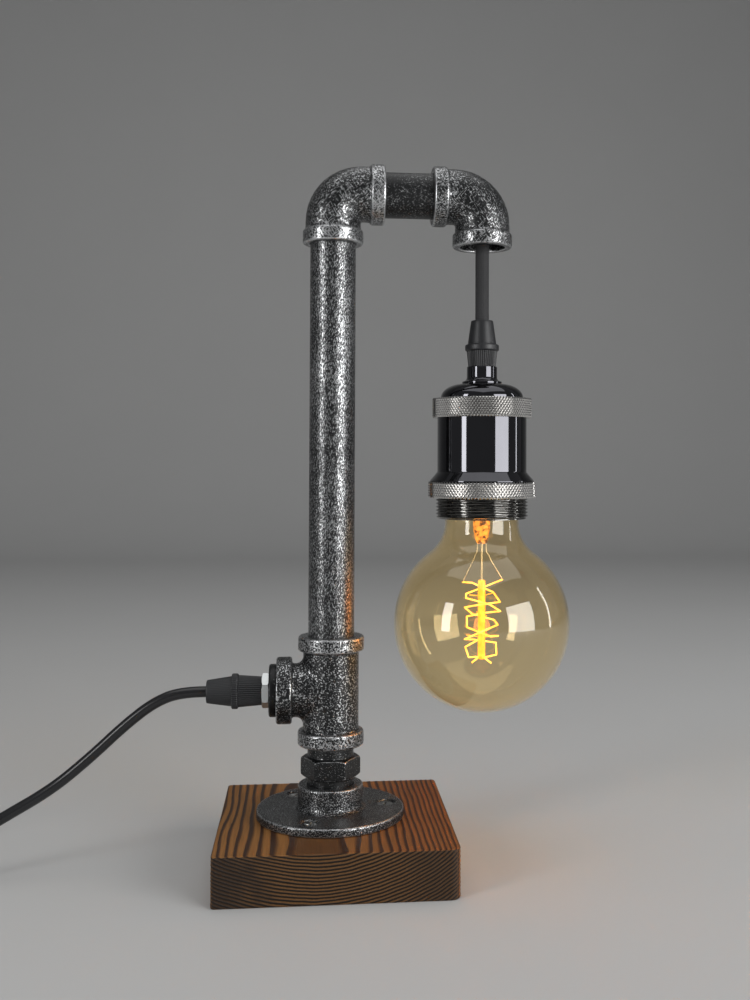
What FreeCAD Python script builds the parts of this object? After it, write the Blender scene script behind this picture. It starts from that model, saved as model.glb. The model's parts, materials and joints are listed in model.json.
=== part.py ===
import FreeCAD, Part
import math
import os

import Sketcher

# Table lamp of half inch black pipe: a timber block, a floor flange, a tee with the lead's gland,
# a riser, two elbows with an arm between them, and a pendant lamp holder with a globe bulb.
# Millimetres, +Z up, the origin on the riser's axis at the level that the block stands on.
# +X runs along the arm towards the pendant, so the mains lead leaves towards -X.

Vector = FreeCAD.Vector
doc = FreeCAD.newDocument("PipeLamp")
sheet = doc.addObject("Spreadsheet::Sheet", "Sizes")
subParts = []


# A size is a number together with the formula that gives it from the sheet's cells.
class Size:
    def __init__(self, value, text):
        self.value = float(value)
        self.text = text

    def __add__(self, other):
        other = asSize(other)
        return Size(self.value + other.value, "(" + self.text + " + " + other.text + ")")

    def __sub__(self, other):
        other = asSize(other)
        return Size(self.value - other.value, "(" + self.text + " - " + other.text + ")")

    def __mul__(self, factor):
        factor = asSize(factor)
        return Size(self.value * factor.value, "(" + self.text + " * " + factor.text + ")")

    def __neg__(self):
        return Size(-self.value, "(0 - " + self.text + ")")


def asSize(value):
    if isinstance(value, Size):
        return value
    return Size(value, repr(float(value)))


sheetRow = [0]


def size(alias, value):
    sheetRow[0] += 1
    name = "A%d" % sheetRow[0]
    cell = "B%d" % sheetRow[0]
    sheet.set(name, alias)
    sheet.set(cell, str(value))
    sheet.setAlias(cell, alias)
    return Size(value, "Sizes." + alias)


zero = asSize(0)

# Timber block
blockSide = size("block_side", 104.5)
blockHeight = size("block_height", 21.4)
blockShift = size("block_shift", 2.0)
blockEase = size("block_ease", 0.8)
blockCorner = size("block_corner", 1.8)
blockWornCorner = size("block_worn_corner", 4.5)

# Pipe and the sockets that take it
pipeRadius = size("pipe_radius", 10.65)
pipeBore = size("pipe_bore", 8.0)
pipeChamfer = size("pipe_chamfer", 0.7)
socketDepth = size("socket_depth", 11.0)
threadGap = size("thread_gap", 0.12)
swivelGap = size("swivel_gap", 0.25)
coreRadius = size("core_radius", 9.0)

# Floor flange and its screws
flangeRadius = size("flange_radius", 33.9)
flangeThickness = size("flange_thickness", 3.9)
flangeEdge = size("flange_edge", 0.9)
hubRadius = size("hub_radius", 15.0)
hubHeight = size("hub_height", 10.6)
hubFillet = size("hub_fillet", 2.2)
screwCircle = size("screw_circle", 25.8)
screwTurn = size("screw_turn", 7.7)
screwHoleRadius = size("screw_hole_radius", 2.3)
sinkRadius = size("sink_radius", 4.9)
headRadius = size("head_radius", 4.1)
headGap = size("head_gap", 0.1)
shankRadius = size("shank_radius", 1.75)
screwLength = size("screw_length", 16.0)
pilotGap = size("pilot_gap", 0.05)

# Hexagon nipple between flange and tee
nippleEntry = size("nipple_entry", 11.2)
nippleNeck = size("nipple_neck", 3.6)
hexHeight = size("hex_height", 9.0)
hexFlats = size("hex_flats", 24.0)
hexChamfer = size("hex_chamfer", 1.0)
nippleUpperNeck = size("nipple_upper_neck", 5.25)
nippleBore = size("nipple_bore", 7.5)
nippleTurn = size("nipple_turn", -2.0)

# Tee
teeHeight = size("tee_height", 50.0)
teeBodyRadius = size("tee_body_radius", 12.8)
teeBranchRadius = size("tee_branch_radius", 12.2)
teeBandRadius = size("tee_band_radius", 15.2)
teeBandWidth = size("tee_band_width", 6.8)
teeBandRound = size("tee_band_round", 1.0)
teeReach = size("tee_reach", 25.1)
teeBranchBand = size("tee_branch_band", 7.2)
teeCrotch = size("tee_crotch", 3.5)

# Elbows and the arm between them
armHeight = size("arm_height", 309.4)
elbowReach = size("elbow_reach", 24.0)
elbowBend = size("elbow_bend", 13.4)
elbowRadius = size("elbow_radius", 12.9)
elbowBandRadius = size("elbow_band_radius", 14.1)
elbowBandWidth = size("elbow_band_width", 6.8)
elbowBandRound = size("elbow_band_round", 1.0)
pendantReach = size("pendant_reach", 70.44)

# Lead gland: reducing bush, nut, hollow stud and the two moulded halves of the grip
bushFlangeRadius = size("bush_flange_radius", 12.0)
bushFlangeWidth = size("bush_flange_width", 3.3)
bushEntry = size("bush_entry", 9.0)
bushChamfer = size("bush_chamfer", 0.6)
studRadius = size("stud_radius", 5.0)
studGap = size("stud_gap", 0.1)
studBore = size("stud_bore", 3.8)
studInside = size("stud_inside", 3.0)
studInGrip = size("stud_in_grip", 6.0)
nutFlats = size("nut_flats", 14.0)
nutWidth = size("nut_width", 3.2)
nutChamfer = size("nut_chamfer", 0.5)
barrelLength = size("barrel_length", 10.6)
barrelSeatRadius = size("barrel_seat_radius", 6.5)
barrelTopRadius = size("barrel_top_radius", 7.3)
barrelRibs = size("barrel_ribs", 20)
ribWidth = size("rib_width", 0.9)
ribDepth = size("rib_depth", 0.5)
beadWidth = size("bead_width", 3.1)
beadRadius = size("bead_radius", 8.05)
beadRound = size("bead_round", 0.9)
coneLength = size("cone_length", 11.4)
coneBaseRadius = size("cone_base_radius", 6.8)
coneTipRadius = size("cone_tip_radius", 5.2)
coneTipRound = size("cone_tip_round", 0.7)
gripGap = size("grip_gap", 0.3)
pendantBarrelLength = size("pendant_barrel_length", 7.3)

# Mains lead, its switch, coil and plug
leadDiameter = size("lead_diameter", 5.0)
blockConnectorLong = size("block_connector_long", 16.0)
blockConnectorWide = size("block_connector_wide", 13.0)
blockConnectorDeep = size("block_connector_deep", 8.0)
switchLong = size("switch_long", 60.0)
switchWide = size("switch_wide", 27.0)
switchBaseHeight = size("switch_base_height", 9.3)
switchCoverHeight = size("switch_cover_height", 9.0)
switchEndRound = size("switch_end_round", 9.0)
switchEdge = size("switch_edge", 1.6)
switchStart = size("switch_start", -204.0)
switchAside = size("switch_aside", -28.0)
rockerLong = size("rocker_long", 19.0)
rockerWide = size("rocker_wide", 12.0)
rockerGap = size("rocker_gap", 0.5)
rockerRise = size("rocker_rise", 2.4)
rockerDip = size("rocker_dip", 0.9)
rockerFoot = size("rocker_foot", 4.4)
rockerFootHalf = size("rocker_foot_half", 6.0)
rockerTilt = size("rocker_tilt", 7.0)
rockerShoulder = size("rocker_shoulder", 0.3)
rockerPinRadius = size("rocker_pin_radius", 1.2)
rockerPinLong = size("rocker_pin_long", 1.4)
rockerPinDrop = size("rocker_pin_drop", 1.2)
rockerPinGap = size("rocker_pin_gap", 0.3)
rockerWell = size("rocker_well", 7.4)
coverScrewRadius = size("cover_screw_radius", 2.0)
coverScrewReach = size("cover_screw_reach", 21.0)
coverScrewLong = size("cover_screw_long", 7.0)
coverScrewSink = size("cover_screw_sink", 0.4)
coverScrewGap = size("cover_screw_gap", 0.1)
coilMiddle = size("coil_middle", 30.0)
coilPitch = size("coil_pitch", 5.5)
coilLayer = size("coil_layer", 5.45)
coilFloor = size("coil_floor", 3.6)
coilAlong = size("coil_along", -307.0)
tieThick = size("tie_thick", 0.8)
tieWide = size("tie_wide", 6.0)
tieGap = size("tie_gap", 0.25)
tieRound = size("tie_round", 4.0)
plugStart = size("plug_start", -240.0)
plugAside = size("plug_aside", 39.0)
plugTurn = size("plug_turn", 14.0)
plugLevel = size("plug_level", 7.0)
plugReliefLong = size("plug_relief_long", 14.0)
plugReliefTip = size("plug_relief_tip", 3.4)
plugReliefFoot = size("plug_relief_foot", 4.6)
plugLong = size("plug_long", 34.0)
plugFaceWide = size("plug_face_wide", 35.0)
plugFaceHigh = size("plug_face_high", 13.7)
plugRearWide = size("plug_rear_wide", 15.0)
plugRearHigh = size("plug_rear_high", 10.4)
plugCorner = size("plug_corner", 2.6)
plugPinRadius = size("plug_pin_radius", 2.0)
plugPinLong = size("plug_pin_long", 19.0)
plugPinSpacing = size("plug_pin_spacing", 19.0)
plugPinTip = size("plug_pin_tip", 0.8)

# Pendant cord
cordRadius = size("cord_radius", 3.3)
cordGap = size("cord_gap", 0.3)
cordBushWidth = size("cord_bush_width", 2.5)
mouthPivotDepth = size("mouth_pivot_depth", 4.7)

# Lamp holder, measured down from the top of its cord grip
gripTop = size("grip_top", 251.0)
collarRadius = size("collar_radius", 7.15)
collarHeight = size("collar_height", 8.3)
collarFootRadius = size("collar_foot_radius", 9.4)
collarFlare = size("collar_flare", 2.25)
collarFootEdge = size("collar_foot_edge", 1.2)
collarStem = size("collar_stem", 6.2)
capTopRadius = size("cap_top_radius", 13.0)
capDomeRadius = size("cap_dome_radius", 20.0)
capDomeDrop = size("cap_dome_drop", 6.8)
capDomeCurve = size("cap_dome_curve", 9.5)
capWall = size("cap_wall", 2.0)
capRingRadius = size("cap_ring_radius", 23.4)
capRingHeight = size("cap_ring_height", 9.1)
ringChamfer = size("ring_chamfer", 0.9)
holderNutFlats = size("holder_nut_flats", 14.0)
holderNutHeight = size("holder_nut_height", 2.4)
shellRadius = size("shell_radius", 21.05)
shellWall = size("shell_wall", 1.9)
shellHeight = size("shell_height", 25.4)
shellFlareHeight = size("shell_flare_height", 4.6)
shellFlareRadius = size("shell_flare_radius", 24.5)
shellFlareEdge = size("shell_flare_edge", 0.5)
shellSpigotHeight = size("shell_spigot_height", 6.0)
shellSpigotGap = size("shell_spigot_gap", 0.15)
threadCrest = size("thread_crest", 21.6)
threadRoot = size("thread_root", 20.8)
threadLength = size("thread_length", 17.4)
threadTurns = 11
shadeRingRadius = size("shade_ring_radius", 25.2)
shadeRingHeight = size("shade_ring_height", 7.6)
shadeRingGap = size("shade_ring_gap", 0.3)
insertGap = size("insert_gap", 0.25)
insertHeight = size("insert_height", 41.0)
insertRoof = size("insert_roof", 14.0)
insertHole = size("insert_hole", 1.6)
sleeveRadius = size("sleeve_radius", 14.05)
sleeveWall = size("sleeve_wall", 0.5)
sleeveHeight = size("sleeve_height", 25.6)
contactRadius = size("contact_radius", 4.0)
contactThick = size("contact_thick", 0.6)
contactStem = size("contact_stem", 1.3)
contactGap = size("contact_gap", 0.3)

# Globe bulb
bulbRadius = size("bulb_radius", 41.2)
bulbWall = size("bulb_wall", 0.8)
neckRadius = size("neck_radius", 17.3)
neckFillet = size("neck_fillet", 18.0)
neckTop = size("neck_top", 159.0)
neckRun = size("neck_run", 2.775796)
neckShoulder = size("neck_shoulder", 3.4)
seamRadius = size("seam_radius", 11.6)
screwCapBottom = size("screw_cap_bottom", 162.8)
screwCapHeight = size("screw_cap_height", 21.4)
seamInset = size("seam_inset", 5.2)
screwCapCrest = size("screw_cap_crest", 13.1)
screwCapRoot = size("screw_cap_root", 12.3)
screwCapBore = size("screw_cap_bore", 11.75)
screwCapPitch = size("screw_cap_pitch", 3.6)
screwCapTurns = 5
buttonConeHeight = size("button_cone_height", 3.4)
buttonConeTop = size("button_cone_top", 5.6)
buttonConeFoot = size("button_cone_foot", 11.6)
buttonRadius = size("button_radius", 4.8)
buttonTopRadius = size("button_top_radius", 3.4)
buttonHeight = size("button_height", 1.4)
stemRadius = size("stem_radius", 4.1)
stemBottom = size("stem_bottom", 145.5)
stemWireRadius = size("stem_wire_radius", 0.7)
rodTop = size("rod_top", 128.8)
rodBottom = size("rod_bottom", 92.4)
rodRadius = size("rod_radius", 1.8)
filamentRadius = size("filament_radius", 8.8)
filamentWire = size("filament_wire", 0.55)
filamentTop = size("filament_top", 127.0)
filamentBottom = size("filament_bottom", 95.5)
filamentLoopDrop = size("filament_loop_drop", 4.2)
filamentLoopReach = size("filament_loop_reach", 3.2)
filamentLoopAside = size("filament_loop_aside", 1.2)
leadWireRadius = size("lead_wire_radius", 0.35)
leadWireSpread = size("lead_wire_spread", 2.5)
leadWireGap = size("lead_wire_gap", 0.3)

doc.recompute()

# Places that follow from the sizes
flangeTop = blockHeight + flangeThickness
hubTop = flangeTop + hubHeight
nippleBottom = hubTop - nippleEntry
hexBottom = hubTop + nippleNeck
hexTop = hexBottom + hexHeight
teeBottom = hexTop + nippleUpperNeck
teeTop = teeBottom + teeHeight
teeCentre = teeBottom + teeHeight * 0.5
riserBottom = teeTop - socketDepth
elbowBottom = armHeight - elbowReach
riserTop = elbowBottom + socketDepth
armStart = elbowReach - socketDepth
armEnd = pendantReach - elbowReach + socketDepth
mouthPivot = elbowBottom + mouthPivotDepth
cordStop = mouthPivot + cordRadius + cordGap
gripPivot = gripTop + cordRadius + cordGap
gripSeat = gripTop - coneLength - beadWidth - pendantBarrelLength
capTop = gripSeat - collarHeight
capRingTop = capTop - capDomeDrop
shellTop = capRingTop - capRingHeight
flareTop = shellTop - shellHeight
flareBottom = flareTop - shellFlareHeight
threadBottom = flareBottom - threadLength
shellBore = shellRadius - shellWall
spigotTop = shellTop + shellSpigotHeight
insertTop = spigotTop - gripGap
insertBottom = insertTop - insertHeight
glandFace = teeReach + bushFlangeWidth
nutFace = glandFace + nutWidth
gripEnd = nutFace + barrelLength + beadWidth + coneLength
seamTop = screwCapBottom + seamInset


# Sketches, features and placements
def originFeature(body, role):
    for feature in body.Origin.OriginFeatures:
        if feature.Role == role:
            return feature
    raise ValueError("no origin feature " + role)


def newBody(label):
    body = doc.addObject("PartDesign::Body", "Body")
    body.Label = label
    subParts.append(body)
    return body


def newSketch(body, planeRole, offset=None):
    sketch = body.newObject("Sketcher::SketchObject", "Sketch")
    sketch.AttachmentSupport = (originFeature(body, planeRole), [""])
    sketch.MapMode = "FlatFace"
    if offset is not None:
        sketch.AttachmentOffset = FreeCAD.Placement(Vector(0, 0, offset.value), FreeCAD.Rotation())
        sketch.setExpression("AttachmentOffset.Base.z", offset.text)
    return sketch


def bindConstraint(sketch, constraint, bound):
    index = sketch.addConstraint(constraint)
    sketch.setExpression("Constraints[%d]" % index, bound.text)


# A closed outline: each point is (across, up), and a third and fourth value make the edge
# that leaves it an arc of that radius, +1 turning left and -1 turning right.
def outline(sketch, points):
    first = sketch.GeometryCount
    starts = []
    ends = []
    for index, point in enumerate(points):
        here = Vector(point[0].value, point[1].value, 0)
        following = points[(index + 1) % len(points)]
        there = Vector(following[0].value, following[1].value, 0)
        if len(point) == 2:
            sketch.addGeometry(Part.LineSegment(here, there), False)
            starts.append(1)
            ends.append(2)
            continue
        radius = point[2].value
        turn = point[3]
        chord = there - here
        side = Vector(-chord.y, chord.x, 0)
        side.normalize()
        rise = math.sqrt(max(radius ** 2 - (chord.Length / 2) ** 2, 0))
        centre = (here + there) * 0.5 + side * (rise * turn)
        circle = Part.Circle(centre, Vector(0, 0, 1), radius)
        angles = [math.atan2(p.y - centre.y, p.x - centre.x) for p in (here, there)]
        if turn < 0:
            angles.reverse()
        sketch.addGeometry(Part.ArcOfCircle(circle, angles[0], angles[1]), False)
        starts.append(1 if turn > 0 else 2)
        ends.append(2 if turn > 0 else 1)
    for index, point in enumerate(points):
        edge = first + index
        after = first + (index + 1) % len(points)
        nextStart = starts[(index + 1) % len(points)]
        sketch.addConstraint(Sketcher.Constraint("Coincident", edge, ends[index], after, nextStart))
        start = starts[index]
        across = Sketcher.Constraint("DistanceX", -1, 1, edge, start, point[0].value)
        up = Sketcher.Constraint("DistanceY", -1, 1, edge, start, point[1].value)
        bindConstraint(sketch, across, point[0])
        bindConstraint(sketch, up, point[1])
        if len(point) > 2:
            bindConstraint(sketch, Sketcher.Constraint("Radius", edge, point[2].value), point[2])


def circleAt(sketch, across, up, radius):
    centre = Vector(across.value, up.value, 0)
    edge = sketch.addGeometry(Part.Circle(centre, Vector(0, 0, 1), radius.value), False)
    bindConstraint(sketch, Sketcher.Constraint("DistanceX", -1, 1, edge, 3, across.value), across)
    bindConstraint(sketch, Sketcher.Constraint("DistanceY", -1, 1, edge, 3, up.value), up)
    bindConstraint(sketch, Sketcher.Constraint("Radius", edge, radius.value), radius)


# A construction line along the sketch's own vertical, used as an axis to turn about
def uprightAxis(sketch, across):
    reach = 10
    line = Part.LineSegment(Vector(across.value, -reach, 0), Vector(across.value, reach, 0))
    edge = sketch.addGeometry(line, True)
    sketch.addConstraint(Sketcher.Constraint("Vertical", edge))
    bindConstraint(sketch, Sketcher.Constraint("DistanceX", -1, 1, edge, 1, across.value), across)
    sketch.addConstraint(Sketcher.Constraint("DistanceY", -1, 1, edge, 1, -reach))
    sketch.addConstraint(Sketcher.Constraint("DistanceY", -1, 1, edge, 2, reach))
    return (sketch, ["Axis0"])


def revolve(body, kind, sketch, axis, angle=360, back=False):
    feature = body.newObject(kind, "Turned")
    feature.Profile = sketch
    feature.ReferenceAxis = axis
    feature.Angle = angle
    feature.Reversed = back
    return feature


# Material turned about the local Z axis (axis "V_Axis") or the local X axis ("H_Axis")
def turn(body, points, axis="V_Axis"):
    sketch = newSketch(body, "XZ_Plane")
    outline(sketch, points)
    return revolve(body, "PartDesign::Revolution", sketch, (sketch, [axis]))


def turnAway(body, points, axis="V_Axis"):
    sketch = newSketch(body, "XZ_Plane")
    outline(sketch, points)
    return revolve(body, "PartDesign::Groove", sketch, (sketch, [axis]))


def tube(body, inner, outer, low, high):
    return turn(body, [(inner, low), (outer, low), (outer, high), (inner, high)])


def pad(body, sketch, length, back=False):
    feature = body.newObject("PartDesign::Pad", "Pad")
    feature.Profile = sketch
    feature.setExpression("Length", length.text)
    feature.Reversed = back
    return feature


def pocket(body, sketch, length, back=False, bothWays=False):
    feature = body.newObject("PartDesign::Pocket", "Pocket")
    feature.Profile = sketch
    feature.setExpression("Length", length.text)
    feature.Reversed = back
    feature.Midplane = bothWays
    return feature


def polarCopies(body, feature, count):
    pattern = body.newObject("PartDesign::PolarPattern", "Copies")
    pattern.Originals = [feature]
    pattern.Axis = (originFeature(body, "Z_Axis"), [""])
    pattern.Angle = 360
    pattern.setExpression("Occurrences", count.text)
    body.Tip = pattern
    return pattern


def place(item, across=zero, aside=zero, up=zero, rotation=None):
    spot = Vector(across.value, aside.value, up.value)
    item.Placement = FreeCAD.Placement(spot, rotation or FreeCAD.Rotation())
    item.setExpression("Placement.Base.x", across.text)
    item.setExpression("Placement.Base.y", aside.text)
    item.setExpression("Placement.Base.z", up.text)


def rectangle(sketch, left, right, low, high):
    outline(sketch, [(left, low), (right, low), (right, high), (left, high)])


# A rectangle with rounded corners, centred on (across, up)
def roundedRectangle(sketch, across, up, halfWide, halfHigh, corner):
    left = across - halfWide
    right = across + halfWide
    low = up - halfHigh
    high = up + halfHigh
    outline(
        sketch,
        [
            (left + corner, low),
            (right - corner, low, corner, 1),
            (right, low + corner),
            (right, high - corner, corner, 1),
            (right - corner, high),
            (left + corner, high, corner, 1),
            (left, high - corner),
            (left, low + corner, corner, 1),
        ],
    )


def hexagon(sketch, flats):
    corner = flats * (1 / math.sqrt(3))
    points = []
    for side in range(6):
        angle = math.radians(60 * side)
        points.append((corner * math.cos(angle), corner * math.sin(angle)))
    outline(sketch, points)


# Cuts the corners of a hexagon back at one face, from the flats to just past the corners
pastCorner = 0.6


def hexagonBevel(body, flats, face, drop):
    inner = flats * 0.5
    outer = flats * pastCorner
    turnAway(body, [(inner, face), (outer, face), (outer, face + drop)])


def leftward():
    return FreeCAD.Rotation(Vector(0, 1, 0), -90)


# A band with rounded shoulders, as (radius, level) points from its low face to its high face
def bandPoints(low, high, radius, edge):
    return [
        (radius - edge, low, edge, 1),
        (radius, low + edge),
        (radius, high - edge, edge, 1),
        (radius - edge, high),
    ]


# Timber block
block = newBody("wood_base")
blockSketch = newSketch(block, "XY_Plane")
halfBlock = blockSide * 0.5
blockLeft = blockShift - halfBlock
blockRight = blockShift + halfBlock
outline(
    blockSketch,
    [
        (blockLeft + blockCorner, -halfBlock),
        (blockRight - blockWornCorner, -halfBlock, blockWornCorner, 1),
        (blockRight, blockWornCorner - halfBlock),
        (blockRight, halfBlock - blockCorner, blockCorner, 1),
        (blockRight - blockCorner, halfBlock),
        (blockLeft + blockCorner, halfBlock, blockCorner, 1),
        (blockLeft, halfBlock - blockCorner),
        (blockLeft, blockCorner - halfBlock, blockCorner, 1),
    ],
)
blockPad = pad(block, blockSketch, blockHeight)
doc.recompute()
easedEdges = []
for number, edge in enumerate(blockPad.Shape.Edges):
    if edge.BoundBox.ZMin > blockHeight.value / 2:
        easedEdges.append("Edge%d" % (number + 1))
blockRound = block.newObject("PartDesign::Fillet", "Eased")
blockRound.Base = (blockPad, easedEdges)
blockRound.setExpression("Radius", blockEase.text)
pilotSketch = newSketch(block, "XY_Plane", blockHeight)
for copy in range(3):
    angle = math.radians(screwTurn.value + 120 * copy)
    pilotRadius = shankRadius + pilotGap
    circleAt(pilotSketch, screwCircle * math.cos(angle), screwCircle * math.sin(angle), pilotRadius)
pocket(block, pilotSketch, screwLength)
place(block)

# Floor flange: plate, threaded hub and three countersunk holes
flange = newBody("floor_flange")
turn(
    flange,
    [
        (pipeRadius + threadGap, zero),
        (flangeRadius, zero),
        (flangeRadius, flangeThickness - flangeEdge, flangeEdge, 1),
        (flangeRadius - flangeEdge, flangeThickness),
        (hubRadius + hubFillet, flangeThickness, hubFillet, -1),
        (hubRadius, flangeThickness + hubFillet),
        (hubRadius, flangeThickness + hubHeight - flangeEdge, flangeEdge, 1),
        (hubRadius - flangeEdge, flangeThickness + hubHeight),
        (pipeRadius + threadGap, flangeThickness + hubHeight),
    ],
)
sinkSketch = newSketch(flange, "XZ_Plane")
sinkDepth = sinkRadius - screwHoleRadius
outline(
    sinkSketch,
    [
        (screwCircle, zero),
        (screwCircle + screwHoleRadius, zero),
        (screwCircle + screwHoleRadius, flangeThickness - sinkDepth),
        (screwCircle + sinkRadius, flangeThickness),
        (screwCircle, flangeThickness),
    ],
)
sinkAxis = uprightAxis(sinkSketch, screwCircle)
sinkCut = revolve(flange, "PartDesign::Groove", sinkSketch, sinkAxis)
polarCopies(flange, sinkCut, asSize(3))
screwRotation = FreeCAD.Rotation(Vector(0, 0, 1), screwTurn.value)
place(flange, up=blockHeight, rotation=screwRotation)

# Three countersunk wood screws, in the flange's holes
screws = newBody("flange_screws")
screws.AllowCompound = True
headTop = flangeThickness - (sinkRadius - headGap - headRadius)
headCone = headRadius - shankRadius
screwSketch = newSketch(screws, "XZ_Plane")
outline(
    screwSketch,
    [
        (screwCircle, flangeThickness - screwLength),
        (screwCircle + shankRadius, flangeThickness - screwLength + shankRadius),
        (screwCircle + shankRadius, headTop - headCone),
        (screwCircle + headRadius, headTop),
        (screwCircle, headTop),
    ],
)
screwAxis = uprightAxis(screwSketch, screwCircle)
firstScrew = revolve(screws, "PartDesign::Revolution", screwSketch, screwAxis)
polarCopies(screws, firstScrew, asSize(3))
place(screws, up=blockHeight, rotation=screwRotation)

# Hexagon nipple
nipple = newBody("hex_nipple")
nippleTop = hexTop - nippleBottom + nippleUpperNeck + socketDepth
turn(
    nipple,
    [
        (nippleBore, zero),
        (pipeRadius - pipeChamfer, zero),
        (pipeRadius, pipeChamfer),
        (pipeRadius, nippleTop - pipeChamfer),
        (pipeRadius - pipeChamfer, nippleTop),
        (nippleBore, nippleTop),
    ],
)
hexLow = nippleEntry + nippleNeck
hexSketch = newSketch(nipple, "XY_Plane", hexLow)
hexagon(hexSketch, hexFlats)
circleAt(hexSketch, zero, zero, nippleBore + pipeChamfer)
pad(nipple, hexSketch, hexHeight)
hexagonBevel(nipple, hexFlats, hexLow, hexChamfer)
hexagonBevel(nipple, hexFlats, hexLow + hexHeight, -hexChamfer)
place(nipple, up=nippleBottom, rotation=FreeCAD.Rotation(Vector(0, 0, 1), nippleTurn.value))

# Tee with its branch towards -X
tee = newBody("tee")
halfTee = teeHeight * 0.5
lowBand = bandPoints(-halfTee, teeBandWidth - halfTee, teeBandRadius, teeBandRound)
highBand = bandPoints(halfTee - teeBandWidth, halfTee, teeBandRadius, teeBandRound)
bodyLow = (teeBodyRadius, teeBandWidth - halfTee)
bodyHigh = (teeBodyRadius, halfTee - teeBandWidth)
teeOutline = [(zero, -halfTee)] + lowBand + [bodyLow, bodyHigh] + highBand + [(zero, halfTee)]
turn(tee, teeOutline)
branchStart = teeReach - teeBranchBand
branchBand = [
    (-teeReach, teeBandRadius - teeBandRound, teeBandRound, -1),
    (teeBandRound - teeReach, teeBandRadius),
    (-branchStart - teeBandRound, teeBandRadius, teeBandRound, -1),
    (-branchStart, teeBandRadius - teeBandRound),
]
branchNeck = [(-branchStart, teeBranchRadius), (zero, teeBranchRadius), (zero, zero)]
teeOutside = turn(tee, [(-teeReach, zero)] + branchBand + branchNeck, "H_Axis")
doc.recompute()
nearly = 0.1
crotchEdges = []
for number, edge in enumerate(teeOutside.Shape.Edges):
    box = edge.BoundBox
    onBody = -teeBodyRadius.value - nearly < box.XMin < -1
    onBranch = max(abs(box.ZMax), abs(box.ZMin)) < teeBranchRadius.value + nearly
    if onBody and onBranch and box.YLength > 1:
        crotchEdges.append("Edge%d" % (number + 1))
teeFillet = tee.newObject("PartDesign::Fillet", "Crotch")
teeFillet.Base = (teeOutside, crotchEdges)
teeFillet.setExpression("Radius", teeCrotch.text)
teeSocket = pipeRadius + threadGap
turnAway(
    tee,
    [
        (zero, -halfTee),
        (teeSocket, -halfTee),
        (teeSocket, socketDepth - halfTee),
        (coreRadius, socketDepth - halfTee),
        (coreRadius, halfTee - socketDepth),
        (teeSocket, halfTee - socketDepth),
        (teeSocket, halfTee),
        (zero, halfTee),
    ],
)
branchSocket = teeReach - socketDepth
turnAway(
    tee,
    [
        (-teeReach, zero),
        (-teeReach, teeSocket),
        (-branchSocket, teeSocket),
        (-branchSocket, coreRadius),
        (zero, coreRadius),
        (zero, zero),
    ],
    "H_Axis",
)
place(tee, up=teeCentre)


# A quarter bend with a banded socket at each end. Its corner is at the local origin,
# one arm runs down and the other towards +X.
def elbow(label, lowerSocket, sideSocket):
    body = newBody(label)
    arm = elbowReach - elbowBandWidth
    socketEnd = elbowReach - socketDepth
    band = bandPoints(-elbowReach, -arm, elbowBandRadius, elbowBandRound)
    lowerArm = [(elbowRadius, -arm), (elbowRadius, -elbowBend), (zero, -elbowBend)]
    turn(body, [(zero, -elbowReach)] + band + lowerArm)
    sideBand = [
        (arm, elbowBandRadius - elbowBandRound, elbowBandRound, -1),
        (arm + elbowBandRound, elbowBandRadius),
        (elbowReach - elbowBandRound, elbowBandRadius, elbowBandRound, -1),
        (elbowReach, elbowBandRadius - elbowBandRound),
    ]
    sideArm = [(elbowBend, zero), (elbowBend, elbowRadius), (arm, elbowRadius)]
    turn(body, sideArm + sideBand + [(elbowReach, zero)], "H_Axis")
    bendSketch = newSketch(body, "XY_Plane", -elbowBend)
    circleAt(bendSketch, zero, zero, elbowRadius)
    bendAxis = uprightAxis(bendSketch, elbowBend)
    revolve(body, "PartDesign::Revolution", bendSketch, bendAxis, 90)
    boreSketch = newSketch(body, "XY_Plane", -elbowBend)
    circleAt(boreSketch, zero, zero, coreRadius)
    boreAxis = uprightAxis(boreSketch, elbowBend)
    revolve(body, "PartDesign::Groove", boreSketch, boreAxis, 90)
    turnAway(
        body,
        [
            (zero, -elbowReach),
            (lowerSocket, -elbowReach),
            (lowerSocket, -socketEnd),
            (zero, -socketEnd),
        ],
    )
    turnAway(
        body,
        [
            (socketEnd, zero),
            (socketEnd, sideSocket),
            (elbowReach, sideSocket),
            (elbowReach, zero),
        ],
        "H_Axis",
    )
    return body


riserElbow = elbow("riser_elbow", pipeRadius + swivelGap, pipeRadius + threadGap)
place(riserElbow, up=armHeight)
dropElbow = elbow("drop_elbow", pipeRadius + threadGap, pipeRadius + threadGap)
place(dropElbow, across=pendantReach, up=armHeight, rotation=FreeCAD.Rotation(Vector(0, 0, 1), 180))


# A length of pipe along local Z with chamfered ends
def pipe(label, length):
    body = newBody(label)
    turn(
        body,
        [
            (pipeBore, zero),
            (pipeRadius - pipeChamfer, zero),
            (pipeRadius, pipeChamfer),
            (pipeRadius, length - pipeChamfer),
            (pipeRadius - pipeChamfer, length),
            (pipeBore, length),
        ],
    )
    return body


riser = pipe("riser_pipe", riserTop - riserBottom)
place(riser, up=riserBottom)
armPipe = pipe("arm_nipple", armEnd - armStart)
place(armPipe, across=armEnd, up=armHeight, rotation=leftward())

# Reducing bush in the tee's branch, with the gland's hollow stud and nut
bush = newBody("tee_bush")
turn(
    bush,
    [
        (studRadius + studGap, -bushEntry),
        (pipeRadius - pipeChamfer, -bushEntry),
        (pipeRadius, pipeChamfer - bushEntry),
        (pipeRadius, zero),
        (bushFlangeRadius, zero),
        (bushFlangeRadius, bushFlangeWidth - bushChamfer),
        (bushFlangeRadius - bushChamfer, bushFlangeWidth),
        (studRadius + studGap, bushFlangeWidth),
    ],
)
place(bush, across=-teeReach, up=teeCentre, rotation=leftward())

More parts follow.
